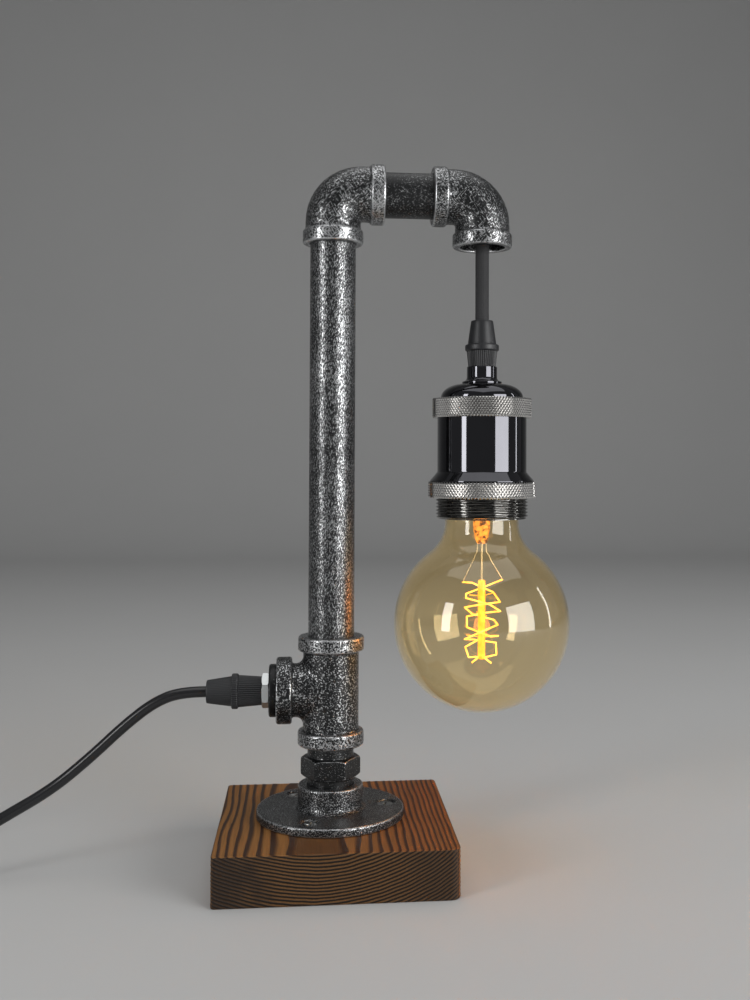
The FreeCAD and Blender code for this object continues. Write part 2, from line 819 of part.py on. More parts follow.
stud = newBody("gland_stud")
tube(stud, studBore, studRadius, -bushEntry - bushFlangeWidth - studInside, nutWidth + studInGrip)
place(stud, across=-glandFace, up=teeCentre, rotation=leftward())


def hexNut(label, flats, height, bevel, hole):
    body = newBody(label)
    sketch = newSketch(body, "XY_Plane")
    hexagon(sketch, flats)
    circleAt(sketch, zero, zero, hole)
    pad(body, sketch, height)
    hexagonBevel(body, flats, height, -bevel)
    hexagonBevel(body, flats, zero, bevel)
    return body


glandNut = hexNut("gland_nut", nutFlats, nutWidth, nutChamfer, studRadius + studGap)
place(glandNut, across=-glandFace, up=teeCentre, rotation=leftward())


# Moulded cord grip: a ribbed barrel, and a clamping cap with a bead and a cone
def gripBarrel(label, length, hole):
    body = newBody(label)
    turn(
        body,
        [(hole, zero), (barrelSeatRadius, zero), (barrelTopRadius, length), (hole, length)],
    )
    sketch = newSketch(body, "XY_Plane")
    halfRib = ribWidth * 0.5
    rectangle(sketch, barrelSeatRadius - ribDepth, beadRadius, -halfRib, halfRib)
    groove = pocket(body, sketch, length, back=True)
    polarCopies(body, groove, barrelRibs)
    return body


def gripCap(label, hole):
    body = newBody(label)
    coneEnd = beadWidth + coneLength
    turn(
        body,
        [
            (hole, zero),
            (beadRadius - beadRound, zero, beadRound, 1),
            (beadRadius, beadRound),
            (beadRadius, beadWidth - beadRound, beadRound, 1),
            (beadRadius - beadRound, beadWidth),
            (coneBaseRadius, beadWidth),
            (coneTipRadius, coneEnd - coneTipRound, coneTipRound, 1),
            (coneTipRadius - coneTipRound, coneEnd),
            (hole, coneEnd),
        ],
    )
    return body


leadRadius = leadDiameter * 0.5
mainsBarrel = gripBarrel("mains_grip_barrel", barrelLength, studRadius + studGap)
place(mainsBarrel, across=-nutFace, up=teeCentre, rotation=leftward())
mainsCap = gripCap("mains_grip_cap", leadRadius + gripGap)
place(mainsCap, across=-nutFace - barrelLength, up=teeCentre, rotation=leftward())

pendantCap = gripCap("pendant_grip_cap", cordRadius + gripGap)
place(pendantCap, across=pendantReach, up=gripSeat + pendantBarrelLength)
pendantBarrel = gripBarrel("pendant_grip_barrel", pendantBarrelLength, studRadius + studGap)
place(pendantBarrel, across=pendantReach, up=gripSeat)

# Connector block inside the tee, where the mains lead meets the pendant's cord
connector = newBody("connector_block")
connectorSketch = newSketch(connector, "XY_Plane")
halfDeep = blockConnectorDeep * 0.5
halfWide = blockConnectorWide * 0.5
rectangle(connectorSketch, -halfDeep, halfDeep, -halfWide, halfWide)
pad(connector, connectorSketch, blockConnectorLong)
connectorBottom = teeCentre - blockConnectorLong * 0.5
place(connector, up=connectorBottom)


# Straight stretches of lead and cord inside the fittings
def rod(label, radius, length):
    body = newBody(label)
    sketch = newSketch(body, "XY_Plane")
    circleAt(sketch, zero, zero, radius)
    pad(body, sketch, length)
    return body


leadInside = rod("mains_lead_inside", leadRadius, gripEnd - halfDeep)
place(leadInside, across=-halfDeep, up=teeCentre, rotation=leftward())
riserCordStart = connectorBottom + blockConnectorLong
riserCord = rod("riser_cord", cordRadius, riserTop - riserCordStart)
place(riserCord, up=riserCordStart)


# Free tubes. A route is straight runs joined by tangent arcs, each as large as its runs allow.
def addShape(label, shape):
    item = doc.addObject("Part::Feature", "Shape")
    item.Label = label
    item.Shape = shape
    item.Placement = FreeCAD.Placement()
    subParts.append(item)
    return item


arcShare = 0.45


def routeEdges(points, widest=None):
    edges = []
    radii = []
    spot = points[0]
    for index in range(1, len(points) - 1):
        corner = points[index]
        before = corner - points[index - 1]
        after = points[index + 1] - corner
        halfTurn = before.getAngle(after) / 2
        radius = arcShare * min(before.Length, after.Length) / math.tan(halfTurn)
        if widest is not None:
            radius = min(radius, widest)
        reach = radius * math.tan(halfTurn)
        before.normalize()
        after.normalize()
        start = corner - before * reach
        end = corner + after * reach
        inward = after - before
        inward.normalize()
        middle = corner + inward * (radius / math.cos(halfTurn) - radius)
        edges.append(Part.LineSegment(spot, start).toShape())
        edges.append(Part.Arc(start, middle, end).toShape())
        radii.append(radius)
        spot = end
    edges.append(Part.LineSegment(spot, points[-1]).toShape())
    return edges, radii


def tubeAlong(edges, radius):
    path = Part.Wire(edges)
    start = edges[0].valueAt(edges[0].FirstParameter)
    heading = edges[0].tangentAt(edges[0].FirstParameter)
    ring = Part.Wire([Part.Circle(start, heading, radius).toShape()])
    shape = path.makePipeShell([ring], True, False)
    expected = math.pi * radius ** 2 * path.Length
    return shape, path.Length, expected


def addTube(label, points, radius, widest=None):
    edges, radii = routeEdges(points, widest)
    shape, length, expected = tubeAlong(edges, radius)
    report = "%s: length %.1f, volume %.1f of %.1f, radii %s"
    print(report % (label, length, shape.Volume, expected, " ".join("%.1f" % r for r in radii)))
    addShape(label, shape)
    return length


# Cord in the arm: up from the riser's end, round both bends, and down to the bush in the mouth
armCordBend = 12.0
armCordPoints = [
    Vector(0, 0, (riserTop + cordGap).value),
    Vector(0, 0, armHeight.value),
    Vector(pendantReach.value, 0, armHeight.value),
    Vector(pendantReach.value, 0, cordStop.value),
]
addTube("arm_cord", armCordPoints, cordRadius.value, armCordBend)

# Bush that holds the cord in the drop elbow's mouth, seated on the socket's floor
cordBush = newBody("cord_bush")
tube(cordBush, cordRadius + studGap, pipeRadius, zero, riserTop - cordStop)
place(cordBush, across=pendantReach, up=cordStop)

# Hanging cord, with a ball end at each of the two places where it bends
dropCord = newBody("drop_cord")
turn(
    dropCord,
    [
        (zero, gripPivot - cordRadius, cordRadius, 1),
        (cordRadius, gripPivot),
        (cordRadius, mouthPivot, cordRadius, 1),
        (zero, mouthPivot + cordRadius),
    ],
)
place(dropCord, across=pendantReach)

# Cord inside the holder, from the grip's tip to the insert
holderCord = rod("holder_cord", cordRadius, gripTop - insertTop)
place(holderCord, across=pendantReach, up=insertTop)

# Mains lead from the gland to its switch, by hand from the picture
mainsRoute = [
    (-68.0, 0.0, 78.85),
    (-80.0, 0.0, 74.5),
    (-93.0, -0.5, 64.5),
    (-108.0, -1.5, 50.5),
    (-124.5, -3.0, 37.0),
    (-145.0, -7.0, 26.0),
    (-162.0, -14.0, 17.0),
    (-176.5, -22.5, 11.0),
    (-191.0, -27.5, 9.3),
]
switchEntry = Vector(switchStart.value, switchAside.value, switchBaseHeight.value)
mainsPoints = [Vector(-gripEnd.value, 0, teeCentre.value)]
mainsPoints += [Vector(*point) for point in mainsRoute]
mainsPoints.append(switchEntry)
addTube("mains_lead", mainsPoints, leadRadius.value)

# Switch housing: a base and a cover that meet on the lead's level
switchEnd = switchStart - switchLong
switchMiddle = switchStart - switchLong * 0.5
halfSwitch = switchLong * 0.5
halfSwitchWide = switchWide * 0.5


def switchHalf(label, height, upperEdge):
    body = newBody(label)
    sketch = newSketch(body, "XY_Plane")
    roundedRectangle(sketch, zero, zero, halfSwitch, halfSwitchWide, switchEndRound)
    solid = pad(body, sketch, height)
    doc.recompute()
    level = height.value if upperEdge else 0
    edges = []
    for number, edge in enumerate(solid.Shape.Edges):
        box = edge.BoundBox
        if abs(box.ZMin - level) < 0.01 and abs(box.ZMax - level) < 0.01:
            edges.append("Edge%d" % (number + 1))
    rounded = body.newObject("PartDesign::Fillet", "Edge")
    rounded.Base = (solid, edges)
    rounded.setExpression("Radius", switchEdge.text)
    return body


switchBase = switchHalf("switch_base", switchBaseHeight, False)
place(switchBase, across=switchMiddle, aside=switchAside)
switchCover = switchHalf("switch_cover", switchCoverHeight, True)
wellSketch = newSketch(switchCover, "XY_Plane", switchCoverHeight)
halfWell = rockerLong * 0.5 + rockerGap
rectangle(wellSketch, -halfWell, halfWell, -rockerWide * 0.5 - rockerGap, rockerWide * 0.5 + rockerGap)
pocket(switchCover, wellSketch, rockerWell)
pinSketch = newSketch(switchCover, "XZ_Plane")
pinLevel = switchCoverHeight - rockerPinDrop
circleAt(pinSketch, zero, pinLevel, rockerPinRadius + rockerPinGap)
pocket(switchCover, pinSketch, rockerWide + (rockerPinLong + rockerPinGap) * 2, bothWays=True)
screwSinkSketch = newSketch(switchCover, "XY_Plane", switchCoverHeight)
circleAt(screwSinkSketch, coverScrewReach, zero, coverScrewRadius + coverScrewGap)
circleAt(screwSinkSketch, -coverScrewReach, zero, coverScrewRadius + coverScrewGap)
pocket(switchCover, screwSinkSketch, coverScrewSink + coverScrewLong)
place(switchCover, across=switchMiddle, aside=switchAside, up=switchBaseHeight)

coverScrews = newBody("switch_screws")
coverScrews.AllowCompound = True
coverScrewSketch = newSketch(coverScrews, "XY_Plane")
circleAt(coverScrewSketch, coverScrewReach, zero, coverScrewRadius)
circleAt(coverScrewSketch, -coverScrewReach, zero, coverScrewRadius)
pad(coverScrews, coverScrewSketch, coverScrewLong)
coverScrewBottom = switchBaseHeight + switchCoverHeight - coverScrewSink - coverScrewLong
place(coverScrews, across=switchMiddle, aside=switchAside, up=coverScrewBottom)

# Rocker with a dished top and two stub pins, resting on its pressed side
rocker = newBody("switch_rocker")
rockerSketch = newSketch(rocker, "XZ_Plane")
halfRocker = rockerLong * 0.5
outline(
    rockerSketch,
    [
        (-rockerFootHalf, -rockerFoot),
        (rockerFootHalf, -rockerFoot),
        (halfRocker, rockerShoulder),
        (halfRocker, rockerRise + rockerPinDrop),
        (zero, rockerRise + rockerPinDrop - rockerDip),
        (-halfRocker, rockerRise + rockerPinDrop),
        (-halfRocker, rockerShoulder),
    ],
)
rockerPad = pad(rocker, rockerSketch, rockerWide)
rockerPad.Midplane = True
rockerPins = newSketch(rocker, "XZ_Plane")
circleAt(rockerPins, zero, zero, rockerPinRadius)
pinsPad = pad(rocker, rockerPins, rockerWide + rockerPinLong * 2)
pinsPad.Midplane = True
rockerLevel = switchBaseHeight + switchCoverHeight - rockerPinDrop
rockerRotation = FreeCAD.Rotation(Vector(0, 1, 0), rockerTilt.value)
place(rocker, across=switchMiddle, aside=switchAside, up=rockerLevel, rotation=rockerRotation)

# Coil of the lead's spare length. It is wound clockwise, in and out again in four layers.
# Quarters of a turn are counted from where the lead comes in, at the side nearest the camera.
layerQuarters = (7, 8, 7, 8)
startQuarter = 3
outerRadius = coilMiddle.value + coilPitch.value * layerQuarters[0] / 8
coilCentre = Vector(coilAlong.value, switchAside.value + outerRadius, 0)


def coilRadius(quarter):
    radius = outerRadius
    passed = 0
    for layer, length in enumerate(layerQuarters):
        inside = min(max(quarter - passed, 0), length)
        radius += (-1 if layer % 2 == 0 else 1) * coilPitch.value * inside / 4
        passed += length
    return radius


def coilHeight(quarter):
    height = coilFloor.value
    passed = 0
    for length in layerQuarters[:-1]:
        passed += length
        climb = min(max((quarter - passed + 1) / 2, 0), 1)
        height += coilLayer.value * climb * climb * (3 - 2 * climb)
    return height


def coilPoint(quarter):
    angle = math.radians(90 * (startQuarter - quarter))
    radius = coilRadius(quarter)
    flat = Vector(math.cos(angle), math.sin(angle), 0) * radius
    return coilCentre + flat + Vector(0, 0, coilHeight(quarter))


coilEnd = sum(layerQuarters)


# The heading at a quarter: level at both ends, and elsewhere the mean of the way in and out
def coilHeading(quarter):
    if quarter in (0, coilEnd):
        return Vector(-1, 0, 0) if quarter == 0 else Vector(1, 0, 0)
    step = 0.02
    heading = coilPoint(quarter + step) - coilPoint(quarter - step)
    heading.normalize()
    return heading


# Two arcs that leave one point and reach the next with the headings given
def biarc(start, startHeading, end, endHeading):
    across = end - start
    both = startHeading + endHeading
    a = 2 * (startHeading.dot(endHeading) - 1)
    b = -2 * across.dot(both)
    c = across.dot(across)
    if abs(a) < 1e-9:
        reach = -c / b
    else:
        reach = (-b - math.sqrt(b * b - 4 * a * c)) / (2 * a)
    firstCorner = start + startHeading * reach
    secondCorner = end - endHeading * reach
    joint = (firstCorner + secondCorner) * 0.5
    arcs = []
    for here, corner, there in ((start, firstCorner, joint), (joint, secondCorner, end)):
        middle = (here + there) * 0.5
        rise = corner - middle
        chord = (there - here).Length / 2
        slope = math.atan2(rise.Length, chord)
        rise.normalize()
        arcs.append(Part.Arc(here, middle + rise * (chord * math.tan(slope / 2)), there).toShape())
    return arcs


leadWidth = leadDiameter.value
coilStart = coilPoint(0)
coilStop = coilPoint(coilEnd)
coilEdges = [Part.LineSegment(coilStart + Vector(leadWidth, 0, 0), coilStart).toShape()]
for quarter in range(coilEnd):
    coilEdges += biarc(
        coilPoint(quarter), coilHeading(quarter), coilPoint(quarter + 1), coilHeading(quarter + 1)
    )
coilEdges.append(Part.LineSegment(coilStop, coilStop + Vector(leadWidth, 0, 0)).toShape())
coilShape, coilLength, coilVolume = tubeAlong(coilEdges, leadRadius.value)
print("coil: length %.1f, volume %.1f of %.1f" % (coilLength, coilShape.Volume, coilVolume))
addShape("mains_lead_coil", coilShape)


# Least distance between the tube's own turns, measured on points along it
def leastGap(edges, width):
    spots = []
    for edge in edges:
        first = edge.FirstParameter
        span = edge.LastParameter - first
        for step in range(8):
            spots.append((edge.valueAt(first + span * step / 8), edge.Length / 8))
    places = [0]
    for spot in spots:
        places.append(places[-1] + spot[1])
    least = 1000
    for one in range(len(spots)):
        for other in range(one + 1, len(spots)):
            if places[other] - places[one] > width * 3:
                least = min(least, (spots[one][0] - spots[other][0]).Length)
    return least - width


print("coil: least gap to itself %.2f" % leastGap(coilEdges, leadWidth))

# Lead from the switch down to the coil, and from the coil to the plug
switchLeadPoints = [
    Vector(switchEnd.value, switchAside.value, switchBaseHeight.value),
    Vector(-275.5, switchAside.value, switchBaseHeight.value),
    Vector(-290.0, switchAside.value, coilFloor.value),
    coilStart + Vector(leadWidth, 0, 0),
]
addTube("switch_lead", switchLeadPoints, leadRadius.value)
plugEntry = Vector(plugStart.value, plugAside.value, plugLevel.value)
plugAngle = math.radians(plugTurn.value)
plugHeading = Vector(math.cos(plugAngle), math.sin(plugAngle), 0)
coilRun = 12.0
plugRun = 13.4
plugLeadPoints = [
    coilStop + Vector(leadWidth, 0, 0),
    coilStop + Vector(leadWidth + coilRun, 0, 0),
    Vector(-277.5, 42.2, 16.2),
    Vector(-265.5, 38.3, 11.0),
    plugEntry - plugHeading * plugRun,
    plugEntry,
]
addTube("plug_lead", plugLeadPoints, leadRadius.value)

# Tie round the coil's bundle, on the side away from the lamp
coilInner = asSize(coilRadius(layerQuarters[0]))
coilOuter = asSize(coilRadius(coilEnd))
tieInnerLow = asSize(coilFloor.value - leadRadius.value) - tieGap
tieInnerHigh = asSize(coilHeight(coilEnd) + leadRadius.value) + tieGap
tieInnerLeft = coilInner - leadRadius - tieGap
tieInnerRight = coilOuter + leadRadius + tieGap
tie = newBody("coil_tie")
tieSketch = newSketch(tie, "XZ_Plane")
tieAcross = (tieInnerLeft + tieInnerRight) * 0.5
tieUp = (tieInnerLow + tieInnerHigh) * 0.5
tieHalfWide = (tieInnerRight - tieInnerLeft) * 0.5
tieHalfHigh = (tieInnerHigh - tieInnerLow) * 0.5
tieOuterWide = tieHalfWide + tieThick
tieOuterHigh = tieHalfHigh + tieThick
roundedRectangle(tieSketch, tieAcross, tieUp, tieOuterWide, tieOuterHigh, tieRound + tieThick)
roundedRectangle(tieSketch, tieAcross, tieUp, tieHalfWide, tieHalfHigh, leadRadius)
tiePad = pad(tie, tieSketch, tieWide)
tiePad.Midplane = True
halfTurn = FreeCAD.Rotation(Vector(0, 0, 1), 180)
place(tie, across=coilAlong, aside=asSize(coilCentre.y), rotation=halfTurn)

# Two pin plug: a moulded body that narrows to its relief, lying flat
plug = newBody("plug_body")
rearSketch = newSketch(plug, "XY_Plane", plugReliefLong)
roundedRectangle(rearSketch, zero, zero, plugRearHigh * 0.5, plugRearWide * 0.5, plugCorner)
faceSketch = newSketch(plug, "XY_Plane", plugReliefLong + plugLong)
roundedRectangle(faceSketch, zero, zero, plugFaceHigh * 0.5, plugFaceWide * 0.5, plugCorner)
plugLoft = plug.newObject("PartDesign::AdditiveLoft", "Housing")
plugLoft.Profile = rearSketch
plugLoft.Sections = [faceSketch]
plugLoft.Ruled = True
turn(
    plug,
    [
        (zero, zero),
        (plugReliefTip, zero),
        (plugReliefFoot, plugReliefLong),
        (plugReliefFoot, plugReliefLong + plugCorner),
        (zero, plugReliefLong + plugCorner),
    ],
)
rightward = FreeCAD.Rotation(Vector(0, 1, 0), 90)
plugRotation = FreeCAD.Rotation(Vector(0, 0, 1), plugTurn.value).multiply(rightward)
place(plug, across=plugStart, aside=plugAside, up=plugLevel, rotation=plugRotation)
pins = newBody("plug_pins")
pins.AllowCompound = True
pinFace = plugReliefLong + plugLong
halfPins = plugPinSpacing * 0.5
pinsSketch = newSketch(pins, "XY_Plane", pinFace)
circleAt(pinsSketch, zero, halfPins, plugPinRadius)
circleAt(pinsSketch, zero, -halfPins, plugPinRadius)
pinsPadding = pad(pins, pinsSketch, plugPinLong)
doc.recompute()
pinTips = []
for number, edge in enumerate(pinsPadding.Shape.Edges):
    if edge.BoundBox.ZMin > (pinFace + plugPinLong).value - 0.01:
        pinTips.append("Edge%d" % (number + 1))
pinChamfer = pins.newObject("PartDesign::Chamfer", "Tips")
pinChamfer.Base = (pinsPadding, pinTips)
pinChamfer.setExpression("Size", plugPinTip.text)
place(pins, across=plugStart, aside=plugAside, up=plugLevel, rotation=plugRotation)

# Turned collar under the cord grip, with a hollow stem at each end
collar = newBody("holder_collar")
turn(
    collar,
    [
        (studBore, -collarStem),
        (studRadius, -collarStem),
        (studRadius, zero),
        (collarFootRadius, zero),
        (collarFootRadius, collarFootEdge, collarFlare, -1),
        (collarRadius, collarFootEdge + collarFlare),
        (collarRadius, collarHeight),
        (studRadius, collarHeight),
        (studRadius, collarHeight + collarStem),
        (studBore, collarHeight + collarStem),
    ],
)
place(collar, across=pendantReach, up=capTop)

# Domed cap with its knurled rim, hollow inside, and the nut that draws it to the collar
cap = newBody("holder_cap")
capHeight = capDomeDrop + capRingHeight
spigotRadius = shellRadius - shellSpigotGap
roofHeight = capRingHeight + capDomeDrop - capWall
turn(
    cap,
    [
        (spigotRadius + shellSpigotGap, zero),
        (capRingRadius - ringChamfer, zero),
        (capRingRadius, ringChamfer),
        (capRingRadius, capRingHeight - ringChamfer),
        (capRingRadius - ringChamfer, capRingHeight),
        (capDomeRadius, capRingHeight, capDomeCurve, 1),
        (capTopRadius, capHeight),
        (studRadius + studGap, capHeight),
        (studRadius + studGap, roofHeight),
        (capTopRadius - capWall, roofHeight),
        (capDomeRadius - capWall, capRingHeight),
        (capDomeRadius - capWall, shellSpigotHeight + shellSpigotGap),
        (spigotRadius + shellSpigotGap, shellSpigotHeight + shellSpigotGap),
    ],
)
place(cap, across=pendantReach, up=shellTop)
capNut = hexNut("holder_nut", holderNutFlats, holderNutHeight, nutChamfer, studRadius + studGap)
place(capNut, across=pendantReach, up=capTop - capWall - holderNutHeight)

# Shell: a tube with a flared foot, and below it the sleeve with its outside thread
shell = newBody("holder_shell")
threadPoints = []
ridge = threadLength * (1.0 / threadTurns)
ridgeRise = ridge * 0.3
for number in range(threadTurns):
    low = threadBottom - shellTop + ridge * number
    threadPoints += [
        (threadRoot, low),
        (threadCrest, low + ridgeRise),
        (threadCrest, low + ridgeRise * 2),
        (threadRoot, low + ridgeRise * 3),
    ]
flareFoot = flareBottom - shellTop
turn(
    shell,
    [(shellBore, threadBottom - shellTop)]
    + threadPoints
    + [
        (threadRoot, flareFoot),
        (shellFlareRadius, flareFoot),
        (shellFlareRadius, flareFoot + shellFlareEdge),
        (shellRadius, flareTop - shellTop),
        (shellRadius, zero),
        (spigotRadius, zero),
        (spigotRadius, shellSpigotHeight),
        (shellBore, shellSpigotHeight),
    ],
)
place(shell, across=pendantReach, up=shellTop)

# Knurled shade ring on the sleeve's thread
shadeRing = newBody("shade_ring")
ringBore = threadCrest + shadeRingGap
turn(
    shadeRing,
    [
        (ringBore, zero),
        (shadeRingRadius - ringChamfer, zero),
        (shadeRingRadius, ringChamfer),
        (shadeRingRadius, shadeRingHeight - ringChamfer),
        (shadeRingRadius - ringChamfer, shadeRingHeight),
        (ringBore, shadeRingHeight),
    ],
)
place(shadeRing, across=pendantReach, up=flareBottom - shadeRingHeight)

# Porcelain insert with its screw sleeve and centre contact
insert = newBody("holder_insert")
insertRadius = shellBore - insertGap
insertBore = sleeveRadius + sleeveWall + insertGap
turn(
    insert,
    [
        (insertBore, zero),
        (insertRadius, zero),
        (insertRadius, insertHeight),
        (insertHole, insertHeight),
        (insertHole, insertHeight - insertRoof),
        (insertBore, insertHeight - insertRoof),
    ],
)
place(insert, across=pendantReach, up=insertBottom)
sleeve = newBody("socket_sleeve")
tube(sleeve, sleeveRadius, sleeveRadius + sleeveWall, zero, sleeveHeight)
sleeveBottom = insertTop - insertRoof - sleeveHeight
place(sleeve, across=pendantReach, up=sleeveBottom)
contact = newBody("socket_contact")
screwCapTop = screwCapBottom + screwCapHeight
buttonTop = screwCapTop + buttonConeHeight + buttonHeight
contactBottom = buttonTop + contactGap
turn(
    contact,
    [
        (zero, contactBottom),
        (contactRadius, contactBottom),
        (contactRadius, contactBottom + contactThick),
        (contactStem, contactBottom + contactThick),
        (contactStem, insertTop),
        (zero, insertTop),
    ],
)
place(contact, across=pendantReach)

# Bulb glass: a globe that runs through a fillet into its neck, open at the seam
bulb = newBody("bulb_glass")
filletRing = neckRadius.value + neckFillet.value
filletReach = bulbRadius.value + neckFillet.value
filletUp = math.sqrt(filletReach ** 2 - filletRing ** 2)
meetAcross = asSize(bulbRadius.value * filletRing / filletReach)
meetUp = asSize(bulbRadius.value * filletUp / filletReach)
neckStart = asSize(filletUp)
innerRadius = bulbRadius - bulbWall
innerMeetAcross = asSize(innerRadius.value * filletRing / filletReach)
innerMeetUp = asSize(innerRadius.value * filletUp / filletReach)
shoulderUp = neckStart + neckRun
bulbCentre = neckTop - shoulderUp
seamUp = seamTop - bulbCentre
turn(
    bulb,
    [
        (zero, -bulbRadius, bulbRadius, 1),
        (bulbRadius, zero, bulbRadius, 1),
        (meetAcross, meetUp, neckFillet, -1),
        (neckRadius, neckStart),
        (neckRadius, shoulderUp, neckShoulder, 1),
        (neckRadius - neckShoulder, shoulderUp + neckShoulder),
        (seamRadius, shoulderUp + neckShoulder),
        (seamRadius, seamUp),
        (seamRadius - bulbWall, seamUp),
        (seamRadius - bulbWall, shoulderUp + neckShoulder - bulbWall),
        (neckRadius - neckShoulder, shoulderUp + neckShoulder - bulbWall, neckShoulder - bulbWall, -1),
        (neckRadius - bulbWall, shoulderUp),
        (neckRadius - bulbWall, neckStart, neckFillet + bulbWall, 1),
        (innerMeetAcross, innerMeetUp, innerRadius, -1),
        (innerRadius, zero, innerRadius, -1),
        (zero, -innerRadius),
    ],
)
place(bulb, across=pendantReach, up=bulbCentre)

# Screw cap with rounded ridges, its insulator and the solder button
screwCap = newBody("bulb_cap")
capRidges = [(screwCapRoot, zero)]
capSlope = screwCapPitch * 0.3
capCrest = screwCapPitch * 0.25
ridgeStart = screwCapPitch * 0.4
for number in range(screwCapTurns):
    low = ridgeStart + screwCapPitch * number
    capRidges += [
        (screwCapRoot, low),
        (screwCapCrest, low + capSlope),
        (screwCapCrest, low + capSlope + capCrest),
        (screwCapRoot, low + capSlope * 2 + capCrest),
    ]
turn(
    screwCap,
    [(screwCapBore, zero)] + capRidges + [(screwCapRoot, screwCapHeight), (screwCapBore, screwCapHeight)],
)
place(screwCap, across=pendantReach, up=screwCapBottom)
buttonCone = newBody("bulb_insulator")
turn(
    buttonCone,
    [
        (zero, zero),
        (buttonConeFoot, zero),
        (buttonConeTop, buttonConeHeight),
        (zero, buttonConeHeight),
    ],
)
place(buttonCone, across=pendantReach, up=screwCapTop)
button = newBody("bulb_contact")
turn(
    button,
    [(zero, zero), (buttonRadius, zero), (buttonTopRadius, buttonHeight), (zero, buttonHeight)],
)
place(button, across=pendantReach, up=screwCapTop + buttonConeHeight)

# Glass stem: a tube sealed to a thin neck that carries the rod inside the filament
stem = newBody("bulb_stem")
turn(
    stem,
    [
        (zero, rodBottom),
        (rodRadius, rodBottom),
        (rodRadius, rodTop),
        (stemWireRadius, rodTop),
        (stemWireRadius, stemBottom),
        (stemRadius, stemBottom),
        (stemRadius, seamTop - bulbWall),
        (seamRadius - bulbWall - contactGap, seamTop - bulbWall),
        (seamRadius - bulbWall - contactGap, seamTop),
        (zero, seamTop),
    ],
)
place(stem, across=pendantReach)

# Filament: two strands wound round the rod in flat sided turns. They cross below it in a loop.
filamentSides = 5
filamentTurns = 2
filamentBend = 1.5


def filamentStrand(lastAngle):
    corners = filamentSides * filamentTurns
    points = []
    for corner in range(corners + 1):
        share = corner / float(corners)
        angle = math.radians(lastAngle - 360.0 / filamentSides * (corners - corner))
        level = filamentTop.value + (filamentBottom.value - filamentTop.value) * share
        across = pendantReach.value + filamentRadius.value * math.cos(angle)
        points.append(Vector(across, filamentRadius.value * math.sin(angle), level))
    return points


leftStrand = filamentStrand(180)
rightStrand = filamentStrand(0)
loopLevel = rodBottom - filamentLoopDrop
loopRight = Vector((pendantReach + filamentLoopReach).value, -filamentLoopAside.value, loopLevel.value)
loopLeft = Vector((pendantReach - filamentLoopReach).value, filamentLoopAside.value, loopLevel.value)
filamentPoints = leftStrand + [loopRight, loopLeft] + rightStrand[::-1]
addTube("filament", filamentPoints, filamentWire.value, filamentBend)

# Two lead wires from the stem's foot to the filament's ends
wireShapes = []
for end in (leftStrand[0], rightStrand[0]):
    side = 1 if end.x > pendantReach.value else -1
    topAcross = pendantReach + leadWireSpread * side
    top = Vector(topAcross.value, 0, (stemBottom - leadWireGap).value)
    foot = end + Vector(0, 0, (filamentWire + leadWireGap).value)
    along = foot - top
    wireShapes.append(Part.makeCylinder(leadWireRadius.value, along.Length, top, along))
addShape("lead_wires", Part.makeCompound(wireShapes))

# Every object is checked before any sub-part is written
doc.recompute()
faults = []
for item in doc.Objects:
    for state in item.State:
        if state in ("Invalid", "Error"):
            faults.append(item.Name + " " + state)
for item in subParts:
    if item.Shape.isNull() or not item.Shape.isValid() or not item.Shape.Solids:
        faults.append(item.Label + " has no valid solid")
if faults:
    raise RuntimeError("; ".join(faults))

os.makedirs("parts", exist_ok=True)
for item in subParts:
    item.Shape.exportStep("parts/" + item.Label + ".step")
print("sub-parts written: %d" % len(subParts))
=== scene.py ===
import json
import math

import bmesh
import bpy
import numpy as np
from mathutils import Matrix, Vector, noise

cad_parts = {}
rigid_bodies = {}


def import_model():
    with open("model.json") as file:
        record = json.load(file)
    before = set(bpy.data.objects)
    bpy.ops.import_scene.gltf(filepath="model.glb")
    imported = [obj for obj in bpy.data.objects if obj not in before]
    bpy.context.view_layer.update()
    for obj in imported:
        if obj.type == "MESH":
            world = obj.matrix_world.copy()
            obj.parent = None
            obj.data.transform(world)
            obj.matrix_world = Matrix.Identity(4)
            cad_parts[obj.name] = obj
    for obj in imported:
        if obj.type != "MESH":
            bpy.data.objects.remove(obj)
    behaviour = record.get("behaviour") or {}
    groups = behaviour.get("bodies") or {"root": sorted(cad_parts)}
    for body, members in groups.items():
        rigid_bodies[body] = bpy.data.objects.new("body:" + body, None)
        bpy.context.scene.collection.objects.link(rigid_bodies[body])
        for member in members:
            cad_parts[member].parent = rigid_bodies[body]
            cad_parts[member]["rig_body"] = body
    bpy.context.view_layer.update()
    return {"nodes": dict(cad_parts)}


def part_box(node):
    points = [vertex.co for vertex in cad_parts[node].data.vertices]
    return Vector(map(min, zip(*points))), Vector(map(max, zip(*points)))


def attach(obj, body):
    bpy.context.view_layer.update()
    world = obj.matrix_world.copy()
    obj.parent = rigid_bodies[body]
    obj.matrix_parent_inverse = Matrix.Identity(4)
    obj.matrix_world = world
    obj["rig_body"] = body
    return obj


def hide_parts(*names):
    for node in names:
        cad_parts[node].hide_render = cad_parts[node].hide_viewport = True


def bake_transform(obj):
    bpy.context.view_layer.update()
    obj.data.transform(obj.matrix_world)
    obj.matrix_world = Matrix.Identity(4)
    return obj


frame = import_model()
nodes = frame["nodes"]
mm = 0.001
print("frame loaded:", len(nodes), "nodes")


# View: where the photographer stood, worked out from the block, the pipe and the bulb
cameraSet = {
    "place": (-0.010618, -0.519047, 0.183845),
    "yaw": 6.101,
    "pitch": -1.286,
    "roll": 0.171,
    "lens": 40.012,
    "shift": (-0.05299, -0.062297),
}


